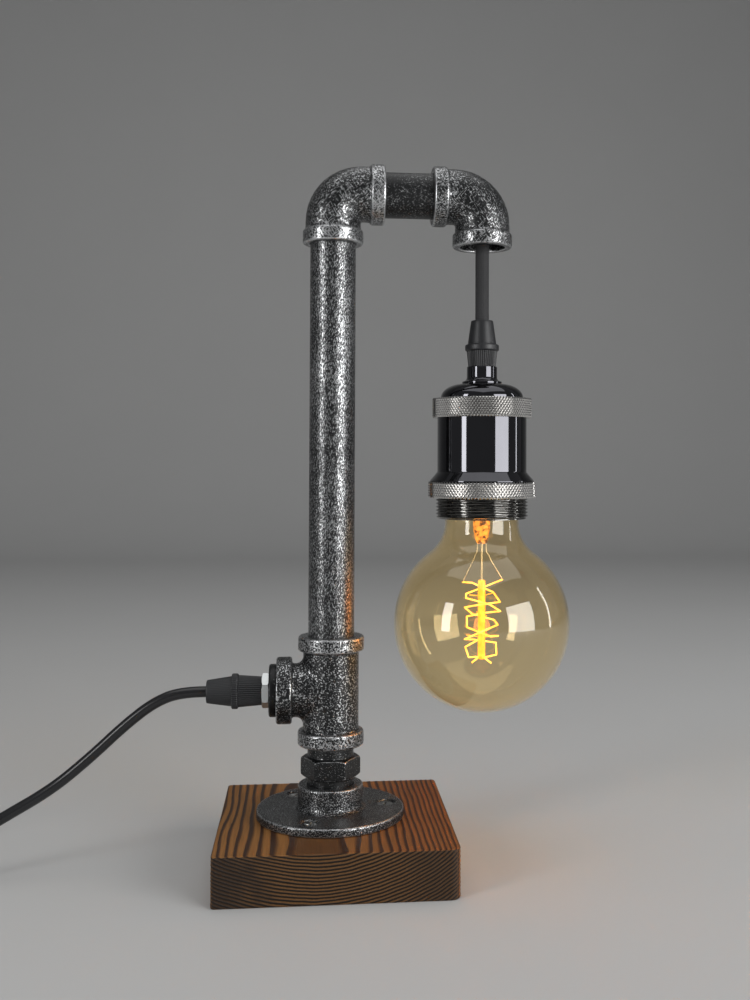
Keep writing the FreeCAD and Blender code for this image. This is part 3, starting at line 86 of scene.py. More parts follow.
def addCamera(values):
    yaw, pitch, roll = (math.radians(values[name]) for name in ("yaw", "pitch", "roll"))
    ahead = Vector((math.sin(yaw) * math.cos(pitch), math.cos(yaw) * math.cos(pitch), -math.sin(pitch)))
    right = Vector((math.cos(yaw), -math.sin(yaw), 0))
    up = right.cross(ahead)
    rolledRight = right * math.cos(roll) + up * math.sin(roll)
    rolledUp = up * math.cos(roll) - right * math.sin(roll)
    turnedView = Matrix((rolledRight, rolledUp, -ahead)).transposed()
    data = bpy.data.cameras.new("view")
    data.lens = values["lens"]
    data.shift_x, data.shift_y = values["shift"]
    view = bpy.data.objects.new("view", data)
    view.matrix_world = Matrix.Translation(values["place"]) @ turnedView.to_4x4()
    bpy.context.scene.collection.objects.link(view)
    bpy.context.scene.camera = view


addCamera(cameraSet)


# Gives a node its inputs: a socket is linked, anything else becomes the input's value
def give(tree, node, inputs):
    for key, value in inputs.items():
        if isinstance(value, bpy.types.NodeSocket):
            tree.links.new(value, node.inputs[key])
        else:
            node.inputs[key].default_value = value
    return node


def addNode(tree, kind, inputs, **settings):
    made = tree.nodes.new(kind)
    for key, value in settings.items():
        setattr(made, key, value)
    return give(tree, made, inputs)


def makeMaterial(name):
    made = bpy.data.materials.new(name)
    made.use_nodes = True
    return made, made.node_tree, made.node_tree.nodes["Principled BSDF"]


def objectPlace(tree, scale=(1, 1, 1)):
    where = addNode(tree, "ShaderNodeTexCoord", {}).outputs["Object"]
    return addNode(tree, "ShaderNodeMapping", {"Vector": where, "Scale": scale}).outputs[0]


def mathNode(tree, operation, first, second=0.0, third=None, clamp=False):
    inputs = {0: first, 1: second}
    if third is not None:
        inputs[2] = third
    return addNode(tree, "ShaderNodeMath", inputs, operation=operation, use_clamp=clamp).outputs[0]


def noiseAt(tree, place, scale, detail, rough, distortion=0.0):
    inputs = {"Vector": place, "Scale": scale, "Detail": detail, "Roughness": rough, "Distortion": distortion}
    return addNode(tree, "ShaderNodeTexNoise", inputs).outputs["Fac"]


# 0 below the low value and 1 above the high one, with a soft step between
def softStep(tree, value, low, high):
    inputs = {"Value": value, "From Min": low, "From Max": high}
    return addNode(tree, "ShaderNodeMapRange", inputs, interpolation_type="SMOOTHSTEP").outputs[0]


def spread(tree, value, low, high):
    return addNode(tree, "ShaderNodeMapRange", {"Value": value, "To Min": low, "To Max": high}).outputs[0]


def vertexValue(tree, name):
    return addNode(tree, "ShaderNodeAttribute", {}, attribute_name=name).outputs["Fac"]


def mixColour(tree, share, first, second, blend="MIX"):
    pair = [part if isinstance(part, bpy.types.NodeSocket) else (*part, 1) for part in (first, second)]
    inputs = {0: share, 6: pair[0], 7: pair[1]}
    return addNode(tree, "ShaderNodeMix", inputs, data_type="RGBA", blend_type=blend).outputs[2]


def bumpFrom(tree, shader, height, distance, strength=1.0):
    bump = addNode(tree, "ShaderNodeBump", {"Height": height, "Distance": distance, "Strength": strength})
    give(tree, shader, {"Normal": bump.outputs[0]})


# Black paint rubbed with silver on its high spots. Each set of marks has its length, turn and fineness.
marksSet = {
    "specks": [((1, 1, 1), (0, 0, 0), 1350)],
    "fineSpecks": [((1, 1, 1), (0, 0, 0), 1900)],
    "upright": [((1, 1, 3), (0, 0, 0), 2500), ((1, 1, 3.5), (0, 0.3, 0), 2500)],
    "crossed": [((1, 1, 5), (0.1, 0.8, 0), 2000), ((1, 1, 5), (-0.1, -0.6, 0), 2000)],
    "slanted": [((1, 1, 5), (0.2, 0.8, 0), 2400), ((1, 1, 5), (0, -1.0, 0), 2400)],
}
# The marks, how much paint covers, how softly it ends, more silver on corners, more on the socket
# bands, the silver's level and its roughness
rubbedLooks = {
    "tee": ("specks", 0.552, 0.07, 0.16, 0.06, 0.5, 0.34),
    "elbow": ("crossed", 0.545, 0.14, 0.2, 0.05, 0.6, 0.31),
    "drop": ("crossed", 0.56, 0.14, 0.2, 0.03, 0.6, 0.31),
    "flange": ("fineSpecks", 0.53, 0.1, 0.2, 0, 0.5, 0.36),
    "nipple": ("fineSpecks", 0.6, 0.1, 0.4, 0, 0.5, 0.33),
    "pipe": ("upright", 0.53, 0.16, 0, 0, 0.58, 0.31),
    "arm": ("slanted", 0.6, 0.14, 0, 0, 0.45, 0.38),
    "bush": ("specks", 0.66, 0.09, 0.15, 0, 0.4, 0.36),
}
paintSet = {"black": (0.006, 0.0065, 0.007), "patches": 0.12, "relief": 0.06}


def rubbedPaint(name, look):
    marksName, cover, soft, edge, band, level, rough = look
    made, tree, shader = makeMaterial(name)
    where = addNode(tree, "ShaderNodeTexCoord", {}).outputs["Object"]
    raised = None
    for stretch, turn, grain in marksSet[marksName]:
        inputs = {"Vector": where, "Scale": stretch, "Rotation": turn}
        place = addNode(tree, "ShaderNodeMapping", inputs, vector_type="TEXTURE").outputs[0]
        fresh = noiseAt(tree, place, grain, 3, 0.6, 0.1)
        raised = mathNode(tree, "MAXIMUM", raised, fresh) if raised else fresh
    onCorners = softStep(tree, vertexValue(tree, "edge"), 0.35, 1.0)
    inPatches = noiseAt(tree, where, 70, 2, 0.5)
    onBands = vertexValue(tree, "band")
    for value, share in ((onCorners, edge), (inPatches, paintSet["patches"]), (onBands, band)):
        raised = mathNode(tree, "MULTIPLY_ADD", value, share, raised)
    cover += paintSet["patches"] / 2
    silver = softStep(tree, raised, cover, cover + soft)
    inputs = {
        "Base Color": mixColour(tree, silver, paintSet["black"], (level, level * 1.015, level * 1.03)),
        "Metallic": spread(tree, silver, 0.4, 1.0),
        "Roughness": spread(tree, silver, rough + 0.02, rough),
    }
    give(tree, shader, inputs)
    bumpFrom(tree, shader, raised, paintSet["relief"] * mm, 0.8)
    return made


rubbed = {name: rubbedPaint("rubbed_" + name, look) for name, look in rubbedLooks.items()}

# Plain finishes: colour, metallic, roughness, fineness, how far the colour wanders, grain depth in mm
plainSet = {
    "zinc": ((0.62, 0.64, 0.64), 1, 0.3, 600, 0.12, 0.02),
    "screw_steel": ((0.3, 0.3, 0.29), 1, 0.24, 700, 0.4, 0.03),
    "grip_plastic": ((0.011, 0.0115, 0.013), 0, 0.42, 1500, 0.2, 0.05),
    "lead_pvc": ((0.01, 0.01, 0.011), 0, 0.24, 500, 0.2, 0.015),
    "switch_plastic": ((0.014, 0.014, 0.015), 0, 0.4, 1800, 0.15, 0.03),
    "rocker_plastic": ((0.012, 0.012, 0.013), 0, 0.2, 900, 0.1, 0.01),
    "plug_plastic": ((0.014, 0.014, 0.015), 0, 0.45, 1600, 0.15, 0.03),
    "tie_plastic": ((0.02, 0.02, 0.021), 0, 0.5, 900, 0.2, 0.02),
    "pin_metal": ((0.68, 0.67, 0.64), 1, 0.22, 700, 0.06, 0.01),
    "porcelain": ((0.82, 0.81, 0.77), 0, 0.18, 300, 0.03, 0.02),
    "socket_brass": ((0.66, 0.47, 0.2), 1, 0.3, 500, 0.12, 0.02),
    "bulb_nickel": ((0.66, 0.63, 0.56), 1, 0.26, 500, 0.1, 0.02),
    "insulator_glass": ((0.01, 0.01, 0.014), 0, 0.12, 300, 0.2, 0.02),
    "solder": ((0.6, 0.6, 0.6), 1, 0.4, 900, 0.1, 0.05),
    "connector_plastic": ((0.78, 0.77, 0.72), 0, 0.4, 700, 0.04, 0.03),
    "wire_nickel": ((0.6, 0.55, 0.46), 1, 0.3, 900, 0.1, 0.005),
}


def plainFinish(name, values):
    colour, metallic, rough, grain, wander, depth = values
    made, tree, shader = makeMaterial(name)
    place = objectPlace(tree)
    fine = noiseAt(tree, place, grain, 4, 0.6)
    broad = noiseAt(tree, place, grain / 12, 2, 0.5)
    dark = [part * (1 - wander) for part in colour]
    light = [min(part * (1 + wander), 1) for part in colour]
    inputs = {
        "Base Color": mixColour(tree, broad, dark, light),
        "Roughness": spread(tree, fine, rough - 0.06, rough + 0.06),
        "Metallic": metallic,
    }
    give(tree, shader, inputs)
    bumpFrom(tree, shader, fine, depth * mm)
    return made


plain = {name: plainFinish(name, values) for name, values in plainSet.items()}
print("paint and plain finishes made")


# Nickel with faint wiping marks, black as a mirror on the holder. On its knurls the same nickel is made
# paler: painted sheen for their bright facets.
def nickelFinish(name, colour, rough):
    made, tree, shader = makeMaterial(name)
    wiped = noiseAt(tree, objectPlace(tree, (1, 1, 0.3)), 90, 3, 0.6)
    fine = noiseAt(tree, objectPlace(tree), 1400, 2, 0.5)
    inputs = {
        "Base Color": mixColour(tree, wiped, [c * 0.85 for c in colour], [c * 1.15 for c in colour]),
        "Roughness": spread(tree, wiped, rough * 0.6, rough * 1.6),
        "Metallic": 1.0,
    }
    give(tree, shader, inputs)
    bumpFrom(tree, shader, fine, 0.001 * mm)
    return made


blackNickel = nickelFinish("black_nickel", (0.075, 0.075, 0.082), 0.04)
# the knurls' paler colour is painted sheen on the same black nickel
knurlNickelPaintedSheen = nickelFinish("knurl_nickel_painted_sheen", (0.54, 0.53, 0.515), 0.14)
threadNickel = nickelFinish("thread_nickel", (0.16, 0.157, 0.15), 0.12)

# Braid: two sets of strands crossing, from the piece's own UV map in metres
braidSet = {"strand": 0.95, "dark": (0.004, 0.004, 0.0045), "light": (0.028, 0.028, 0.03)}


def braidFinish():
    made, tree, shader = makeMaterial("braided_textile")
    where = addNode(tree, "ShaderNodeUVMap", {}).outputs[0]
    around, along = addNode(tree, "ShaderNodeSeparateXYZ", {0: where}).outputs[:2]
    waves = []
    for operation in ("ADD", "SUBTRACT"):
        slant = mathNode(tree, operation, around, along)
        turns = mathNode(tree, "MULTIPLY", slant, math.tau / (braidSet["strand"] * mm) / 2)
        waves.append(mathNode(tree, "SINE", turns))
    height = spread(tree, mathNode(tree, "MULTIPLY", *waves), 0.5, 1.0)
    threads = noiseAt(tree, where, 9000, 2, 0.6)
    share = mathNode(tree, "MULTIPLY", softStep(tree, height, 0.1, 0.9), spread(tree, threads, 0.5, 1.2))
    inputs = {
        "Base Color": mixColour(tree, share, braidSet["dark"], braidSet["light"]),
        "Roughness": 0.7,
        "Sheen Weight": 0.06,
        "Sheen Roughness": 0.4,
    }
    give(tree, shader, inputs)
    bumpFrom(tree, shader, mathNode(tree, "MULTIPLY_ADD", threads, 0.3, height), 0.12 * mm)
    return made


braid = braidFinish()

# Stained pine. Its growth rings lie round an axis along Y, above the block. Each vertex carries its
# place among the rings, as a number that grows by one from ring to ring.
pineSet = {
    "heartX": -8.0,
    "heartZ": 97.0,
    "ring": 1.45,
    "sway": 0.8,
    "ripple": 0.28,
    "topLate": 0.52,  # the share of a ring at which its dark wood starts, on top
    "endLate": 0.34,  # and on the end faces
    "relief": 0.14,
    "edge": 0.8,
    "corner": 1.8,
    "wornCorner": 4.5,
    "springLeft": (0.24, 0.108, 0.03),
    "springRight": (0.2, 0.073, 0.02),
    "springEnd": (0.11, 0.052, 0.017),
    "darkLeft": (0.038, 0.015, 0.006),
    "darkRight": (0.042, 0.0135, 0.005),
    "darkEnd": (0.008, 0.005, 0.003),
    "patch": (0.055, 0.023, 0.009),
    "endsDarkColour": (0.012, 0.008, 0.006),
}


def growth(x, y, z):
    p = pineSet
    sway = noise.noise(Vector((x * 0.04, y * 0.017, z * 0.04))) * p["sway"]
    ripple = noise.noise(Vector((x * 0.17, y * 0.05, z * 0.17))) * p["ripple"]
    return (math.hypot(x - p["heartX"], z - p["heartZ"]) + sway + ripple) / p["ring"]


def pineFinish():
    made, tree, shader = makeMaterial("stained_pine")
    p = pineSet

    def times(first, second):
        return mathNode(tree, "MULTIPLY", first, second)

    x, y = addNode(tree, "ShaderNodeSeparateXYZ", {0: objectPlace(tree, (1000, 1000, 1000))}).outputs[:2]
    fibre = noiseAt(tree, objectPlace(tree, (1, 0.035, 1)), 1500, 3, 0.6)
    broad = noiseAt(tree, objectPlace(tree, (1, 0.25, 1)), 110, 2, 0.5)
    share = mathNode(tree, "FRACT", mathNode(tree, "MULTIPLY_ADD", fibre, 0.2, vertexValue(tree, "growth")))
    facing = addNode(tree, "ShaderNodeNewGeometry", {}).outputs["True Normal"]
    along = addNode(tree, "ShaderNodeSeparateXYZ", {0: facing}).outputs[1]
    endGrain = softStep(tree, mathNode(tree, "ABSOLUTE", along), 0.5, 0.8)
    start = spread(tree, endGrain, p["topLate"], p["endLate"])
    rise = softStep(tree, share, start, mathNode(tree, "ADD", start, 0.22))
    late = mathNode(tree, "SUBTRACT", rise, softStep(tree, share, 0.93, 1.0), clamp=True)
    # the end faces are darker than the faces along the grain, and the left is more golden
    toRight = softStep(tree, x, -25, 40)
    spring = mixColour(tree, toRight, p["springLeft"], p["springRight"])
    spring = mixColour(tree, endGrain, spring, p["springEnd"])
    dark = mixColour(tree, toRight, p["darkLeft"], p["darkRight"])
    dark = mixColour(tree, endGrain, dark, p["darkEnd"])
    # a broad dark patch near the front, where the saw ran along one ring
    patchX = softStep(tree, mathNode(tree, "ABSOLUTE", mathNode(tree, "ADD", x, 6.5)), 14, 8)
    patchY = softStep(tree, mathNode(tree, "MULTIPLY_ADD", broad, 40, y), 25, -25)
    level = mathNode(tree, "SUBTRACT", 1.0, endGrain)
    shaded = times(times(times(patchX, patchY), 0.75), level)
    spring = mixColour(tree, shaded, spring, p["patch"])
    # the end faces turn darker towards both sides
    wandering = mathNode(tree, "MULTIPLY_ADD", broad, 30, x)
    rightEnd = times(softStep(tree, wandering, 36, 62), 0.6)
    endsDarkened = mathNode(tree, "MAXIMUM", softStep(tree, wandering, -6, -28), rightEnd)
    endsDarkened = times(times(endsDarkened, endGrain), 0.75)
    fleck = spread(tree, fibre, 0.55, 1.4)
    tint = addNode(tree, "ShaderNodeCombineXYZ", {0: fleck, 1: fleck, 2: fleck}).outputs[0]
    colour = mixColour(tree, 1.0, mixColour(tree, late, spring, dark), tint, "MULTIPLY")
    inputs = {
        "Base Color": mixColour(tree, endsDarkened, colour, p["endsDarkColour"]),
        "Roughness": spread(tree, late, 0.55, 0.42),
        "Specular IOR Level": 0.25,
    }
    give(tree, shader, inputs)
    bumpFrom(tree, shader, mathNode(tree, "MULTIPLY_ADD", fibre, 0.35, late), 0.2 * mm, 0.8)
    return made


stainedPine = pineFinish()


# Clear glass with a tint. Rays from lamps pass straight through it. Its faint emission is a painted glow of
# the filament's light in the glass.
def glassFinish(name, tint, paintedGlow=0.0):
    made, tree, shader = makeMaterial(name)
    streaks = noiseAt(tree, objectPlace(tree, (1, 1, 0.5)), 35, 2, 0.5)
    pale = [min(part * 1.03, 1) for part in tint]
    inputs = {
        "Base Color": mixColour(tree, streaks, [part * 0.97 for part in tint], pale),
        "Roughness": 0.0,
        "IOR": 1.47,
        "Transmission Weight": 1.0,
        "Emission Color": (1.0, 0.78, 0.42, 1),
        "Emission Strength": paintedGlow,
    }
    give(tree, shader, inputs)
    through = addNode(tree, "ShaderNodeBsdfTransparent", {"Color": (*tint, 1)})
    lamps = addNode(tree, "ShaderNodeLightPath", {}).outputs["Is Shadow Ray"]
    either = addNode(tree, "ShaderNodeMixShader", {0: lamps, 1: shader.outputs[0], 2: through.outputs[0]})
    give(tree, tree.nodes["Material Output"], {"Surface": either.outputs[0]})
    return made


amberGlass = glassFinish("amber_glass", (0.945, 0.84, 0.62), paintedGlow=0.016)


def glowFinish(name, cool, hot, strength, grain=260):
    made, tree, shader = makeMaterial(name)
    uneven = softStep(tree, noiseAt(tree, objectPlace(tree), grain, 2, 0.5), 0.35, 0.65)
    glow = mixColour(tree, uneven, cool, hot)
    inputs = {"Base Color": glow, "Emission Color": glow, "Emission Strength": strength, "Roughness": 0.4}
    give(tree, shader, inputs)
    return made


filamentGlow = glowFinish("glowing_filament", (1.0, 0.42, 0.05), (1.0, 0.62, 0.12), 2.2)
# The rod, its hooks and the stem are no lamps: their glow is painted light from the filament.
rodPaintedGlow = glowFinish("rod_painted_glow", (1.0, 0.36, 0.02), (1.0, 0.5, 0.04), 1.3)
stemGlow = glowFinish("lit_stem", (0.1, 0.025, 0.004), (1.0, 0.4, 0.06), 0.8, 480)
print("wood, braid, glass and glow made")


def clamped(value):
    return min(max(value, 0), 1)


# Mesh helpers. Outlines are in mm, meshes in metres.
def finishMesh(name, data, material, body=None, sharp=35, replaces=()):
    data.shade_smooth()
    data.set_sharp_from_angle(angle=math.radians(sharp))
    data.materials.clear()
    data.materials.append(material)
    piece = bpy.data.objects.new(name, data)
    bpy.context.scene.collection.objects.link(piece)
    if replaces:
        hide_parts(*replaces)
    if body:
        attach(piece, body)
    return piece


# Corners of an outline that carry a third value become arcs of that radius
def softened(outline, closed, steps):
    made = []
    count = len(outline)
    for index, corner in enumerate(outline):
        here = Vector(corner[:2])
        atEnd = not closed and index in (0, count - 1)
        if len(corner) < 3 or atEnd:
            made.append(here)
            continue
        before = Vector(outline[index - 1][:2]) - here
        after = Vector(outline[(index + 1) % count][:2]) - here
        half = before.angle(after) / 2
        reach = corner[2] / math.tan(half)
        reach = min(reach, before.length * 0.49, after.length * 0.49)
        radius = reach * math.tan(half)
        middle = here + (before.normalized() + after.normalized()).normalized() * (radius / math.sin(half))
        first = here + before.normalized() * reach - middle
        last = here + after.normalized() * reach - middle
        sweep = first.angle_signed(last)
        for step in range(steps + 1):
            turnedSpot = first.copy()
            turnedSpot.rotate(Matrix.Rotation(-sweep * step / steps, 2))
            made.append(middle + turnedSpot)
    return made


def arcPoints(centre, radius, start, end, steps):
    made = []
    for step in range(steps + 1):
        angle = math.radians(start + (end - start) * step / steps)
        made.append((centre[0] + radius * math.cos(angle), centre[1] + radius * math.sin(angle)))
    return made


# A turned mesh. The outline is (radius, level[, round]) in mm from the base point along the axis.
def turned(outline, base, axis=(0, 0, 1), segments=128, closed=True, steps=5, shape=None):
    vertices = []
    rings = []
    for point in softened(outline, closed, steps):
        if point.x < 1e-5:
            rings.append([len(vertices)])
            vertices.append(Vector((0, 0, point.y)))
            continue
        ring = []
        for segment in range(segments):
            angle = math.tau * segment / segments
            radius, level = shape(point.x, point.y, angle) if shape else point
            ring.append(len(vertices))
            vertices.append(Vector((radius * math.cos(angle), radius * math.sin(angle), level)))
        rings.append(ring)
    faces = []
    pairs = list(zip(rings, rings[1:]))
    if closed:
        pairs.append((rings[-1], rings[0]))
    for low, high in pairs:
        for segment in range(segments):
            after = (segment + 1) % segments
            corners = [low[segment % len(low)], low[after % len(low)]]
            corners += [high[after % len(high)], high[segment % len(high)]]
            face = list(dict.fromkeys(corners))
            if len(face) > 2:
                faces.append(face)
    upright = Vector(axis).to_track_quat("Z", "X").to_matrix().to_4x4()
    place = Matrix.Translation(base) @ upright @ Matrix.Scale(mm, 4)
    return [place @ v for v in vertices], faces


# A mesh with its doubles merged and its faces turned outwards
def meshOf(name, vertices, faces):
    data = bpy.data.meshes.new(name)
    data.from_pydata([tuple(v) for v in vertices], [], faces)
    outwards(data)
    return data


def outwards(data):
    work = bmesh.new()
    work.from_mesh(data)
    bmesh.ops.remove_doubles(work, verts=work.verts, dist=1e-7)
    bmesh.ops.recalc_face_normals(work, faces=work.faces)
    work.to_mesh(data)
    work.free()


def turnedPiece(name, outline, base, finish, body, slot=None, axis=(0, 0, 1), replaces=(), sharp=35, **form):
    data = meshOf(name, *turned(outline, base, axis, **form))
    return finishMesh(name, data, finish, body, sharp, replaces)


# A merged copy of a CAD node's mesh
def nodeMesh(node, name):
    work = bmesh.new()
    work.from_mesh(nodes[node].data)
    bmesh.ops.remove_doubles(work, verts=work.verts, dist=1e-6)
    bmesh.ops.dissolve_degenerate(work, edges=work.edges, dist=1e-7)
    clean = bpy.data.meshes.new(name)
    work.to_mesh(clean)
    work.free()
    return clean


# A CAD shape that is right as it is: a merged, smooth copy with its own finish
def copied(node, name, finish, bevel, slot=None):
    piece = finishMesh(name, nodeMesh(node, name), plain[finish], None, 30, (node,))
    if bevel:
        rounded = piece.modifiers.new("edges", "BEVEL")
        rounded.width = bevel * mm
        rounded.segments = 2
        rounded.limit_method = "ANGLE"
        rounded.angle_limit = math.radians(40)
        rounded.harden_normals = True
    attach(piece, bodyOf(node))


def bodyOf(node):
    return nodes[node]["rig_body"]


# Castings: the CAD shape remeshed fine, its edges softened, with the unevenness of sand casting.
# Each vertex knows how far it stands out ("edge") and whether it is on a socket band ("band").
castSet = {"rounds": 3, "unevenScale": 150.0, "edgeReach": 4, "edgeHeight": 0.07, "band": 7.0}
# The piece's name, its paint, the remesh size and the unevenness in mm, and the ends that carry a
# socket band, each as an axis and -1 or 1
castings = {
    "floor_flange": ("pipe_flange", "flange", 0.38, 0.07, ()),
    "hex_nipple": ("hexagon_nipple", "nipple", 0.3, 0.04, ()),
    "tee": ("pipe_tee", "tee", 0.4, 0.07, ((2, -1), (2, 1))),
    "riser_elbow": ("pipe_elbow", "elbow", 0.4, 0.07, ((2, -1), (0, 1))),
    "drop_elbow": ("pendant_elbow", "drop", 0.4, 0.07, ((2, -1), (0, -1))),
    "tee_bush": ("reducing_bush", "bush", 0.3, 0.02, ()),
}


def remeshed(node, name, voxel):
    piece = bpy.data.objects.new(name, nodeMesh(node, name))
    bpy.context.scene.collection.objects.link(piece)
    remesh = piece.modifiers.new("remesh", "REMESH")
    remesh.mode = "VOXEL"
    remesh.voxel_size = voxel * mm
    remesh.adaptivity = 0.0
    graph = bpy.context.evaluated_depsgraph_get()
    made = bpy.data.meshes.new_from_object(piece.evaluated_get(graph))
    bpy.data.objects.remove(piece)
    return made


def vertexArray(made, name):
    values = np.zeros(len(made.vertices) * 3)
    made.vertices.foreach_get(name, values)
    return values.reshape(-1, 3)


def casting(node, name, paint, voxel, uneven, bands):
    made = remeshed(node, name, voxel)
    spots = vertexArray(made, "co")
    ends = np.zeros(len(made.edges) * 2, int)
    made.edges.foreach_get("vertices", ends)
    ends = ends.reshape(-1, 2)
    weight = np.bincount(ends.ravel(), minlength=len(spots))

    def evened(values, share):
        total = np.zeros_like(values)
        np.add.at(total, ends[:, 0], values[ends[:, 1]])
        np.add.at(total, ends[:, 1], values[ends[:, 0]])
        return values * (1 - share) + total / weight[:, None] * share

    for step in range(castSet["rounds"]):
        spots = evened(evened(spots, 0.5), -0.35) if step % 2 else evened(spots, 0.5)
    made.vertices.foreach_set("co", spots.ravel())
    made.update()
    normals = vertexArray(made, "normal")
    blurred = spots
    for step in range(castSet["edgeReach"]):
        blurred = evened(blurred, 0.5)
    stand = ((spots - blurred) * normals).sum(1) / mm
    stand = np.clip(evened(stand[:, None], 0.5)[:, 0] / castSet["edgeHeight"], -1, 1)
    low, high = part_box(node)
    banded = np.zeros(len(spots))
    for axis, side in bands:
        away = high[axis] - spots[:, axis] if side > 0 else spots[:, axis] - low[axis]
        banded = np.maximum(banded, away < castSet["band"] * mm)
    for label, values in (("edge", stand), ("band", banded)):
        made.attributes.new(label, "FLOAT", "POINT").data.foreach_set("value", values.astype(np.float32))
    for index, normal in enumerate(normals):
        spot = Vector(spots[index]) * castSet["unevenScale"]
        spots[index] += normal * ((noise.noise(spot) + 0.5 * noise.noise(spot * 2.7)) * uneven * mm)
    made.vertices.foreach_set("co", spots.ravel())
    made.update()
    finishMesh(name, made, rubbed[paint], bodyOf(node), 180, (node,))


# Cords. Routes are in metres; the lead runs from the tee's grip to the switch, then to its coil and plug.
leadSet = {"diameter": 0.005, "gland": 0.172, "spare": 1.5786}
mainsRoute = [
    (-0.0567, 0.0, 0.07875),
    (-0.068, 0.0, 0.07885),
    (-0.08, 0.0, 0.0745),
    (-0.093, -0.0005, 0.0645),
    (-0.108, -0.0015, 0.0505),
    (-0.1245, -0.003, 0.037),
    (-0.145, -0.007, 0.026),
    (-0.162, -0.014, 0.017),
    (-0.1765, -0.0225, 0.011),
    (-0.191, -0.0275, 0.0093),
    (-0.204, -0.028, 0.0093),
]
switchRoute = [
    (-0.264, -0.028, 0.0093),
    (-0.2755, -0.028, 0.0093),
    (-0.29, -0.028, 0.0036),
    (-0.302, -0.028, 0.0036),
]
plugRoute = [
    (-0.302, 0.044375, 0.01995),
    (-0.29, 0.044375, 0.01995),
    (-0.2775, 0.0422, 0.0162),
    (-0.2655, 0.0383, 0.011),
    (-0.253, 0.03576, 0.007),
    (-0.24, 0.039, 0.007),
]
coilSet = {
    "middle": 30.0,
    "pitch": 5.5,
    "layer": 5.45,
    "floor": 3.6,
    "along": -307.0,
    "aside": -28.0,
    "quarters": (7, 8, 7, 8),
    "perQuarter": 6,
}


# The coil's turns: in and out again in four layers, climbing where the spiral turns back
def coilPoints(values):
    outer = values["middle"] + values["pitch"] * values["quarters"][0] / 8
    total = sum(values["quarters"])
    bulge = 1 / math.cos(math.radians(45 / values["perQuarter"]))
    made = []
    for step in range(total * values["perQuarter"] + 1):
        quarter = step / values["perQuarter"]
        radius = outer
        height = values["floor"]
        passed = 0
        for layer, length in enumerate(values["quarters"]):
            inside = min(max(quarter - passed, 0), length)
            radius += (-1 if layer % 2 == 0 else 1) * values["pitch"] * inside / 4
            passed += length
            if layer < 3:
                climb = clamped((quarter - passed + 1) / 2)
                height += values["layer"] * climb * climb * (3 - 2 * climb)
        angle = math.radians(90 * (3 - quarter))
        radius *= (1 + bulge) / 2
        x = values["along"] + radius * math.cos(angle)
        y = values["aside"] + outer + radius * math.sin(angle)
        made.append((x * mm, y * mm, height * mm))
    return made


def leadCurve(name, points, *replaced):
    data = bpy.data.curves.new(name, "CURVE")
    data.dimensions = "3D"
    data.resolution_u = 8
    spline = data.splines.new("NURBS")
    spline.points.add(len(points) - 1)
    for spot, point in zip(spline.points, points):
        spot.co = (*point, 1)
    spline.order_u = 3
    spline.use_endpoint_u = True
    data.bevel_depth = leadSet["diameter"] / 2
    data.bevel_resolution = 5
    data.use_fill_caps = True
    data.materials.append(plain["lead_pvc"])
    piece = bpy.data.objects.new(name, data)
    bpy.context.scene.collection.objects.link(piece)
    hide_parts(*replaced)
    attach(piece, "base")
    return piece


mainsLead = leadCurve("mains_lead_free", mainsRoute, "mains_lead")
spareRoute = switchRoute + coilPoints(coilSet)[1:-1] + plugRoute
spareLead = leadCurve("mains_lead_spare", spareRoute, "switch_lead", "mains_lead_coil", "plug_lead")

# Pendant cord: a braided textile tube. Strands of two sets cross in relief.
pendantSet = {
    "radius": 3.22,
    "relief": 0.11,
    "strands": 11,
    "mouth": 0.2901,
    "gripPivot": 0.2546,
    "stub": 0.008,
}
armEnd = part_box("drop_cord")
pendantX = (armEnd[0].x + armEnd[1].x) / 2


def braidLift(angle, along):
    strands = pendantSet["strands"]
    twist = along / (pendantSet["radius"] * mm)
    over = math.sin(strands * (angle + twist)) * math.sin(strands * (angle - twist))
    return pendantSet["relief"] * mm * (over - 0.4)


# A braided tube of rings along a line, with a UV map in metres round and along it
def braidedTube(name, line, around):
    vertices = []
    sideways = Vector((0, 1, 0))
    travelled = [0.0]
    radius = pendantSet["radius"] * mm
    for index, spot in enumerate(line):
        ahead = (line[min(index + 1, len(line) - 1)] - line[max(index - 1, 0)]).normalized()
        sideways = (sideways - ahead * sideways.dot(ahead)).normalized()
        other = ahead.cross(sideways)
        if index:
            travelled.append(travelled[-1] + (spot - line[index - 1]).length)
        for step in range(around):
            angle = math.tau * step / around
            reach = radius + braidLift(angle, travelled[-1])
            vertices.append(spot + (sideways * math.cos(angle) + other * math.sin(angle)) * reach)
    faces = []
    uvs = []
    girth = math.tau * radius
    for index in range(len(line) - 1):
        low = index * around
        high = low + around
        bottom, top = travelled[index : index + 2]
        for step in range(around):
            after = (step + 1) % around
            faces.append((low + step, low + after, high + after, high + step))
            left = girth * step / around
            right = girth * (step + 1) / around
            uvs += [(left, bottom), (right, bottom), (right, top), (left, top)]
    last = (len(line) - 1) * around
    faces.append(tuple(reversed(range(around))))
    faces.append(tuple(last + step for step in range(around)))
    uvs += [(0, 0)] * (around * 2)
    data = bpy.data.meshes.new(name)
    data.from_pydata([tuple(v) for v in vertices], [], faces)
    layer = data.uv_layers.new(name="UVMap")
    for loop, uv in zip(layer.data, uvs):
        loop.uv = uv
    return data


def plumbLine(start, end, steps):
    return [Vector((pendantX, 0, start + (end - start) * step / steps)) for step in range(steps + 1)]


line = plumbLine(armEnd[1].z + 0.0015, armEnd[0].z + 0.0008, 210)
tube = braidedTube("pendant_cord", line, 132)
pendantCord = finishMesh("pendant_cord", tube, braid, None, 180, ("drop_cord",))
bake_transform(pendantCord)


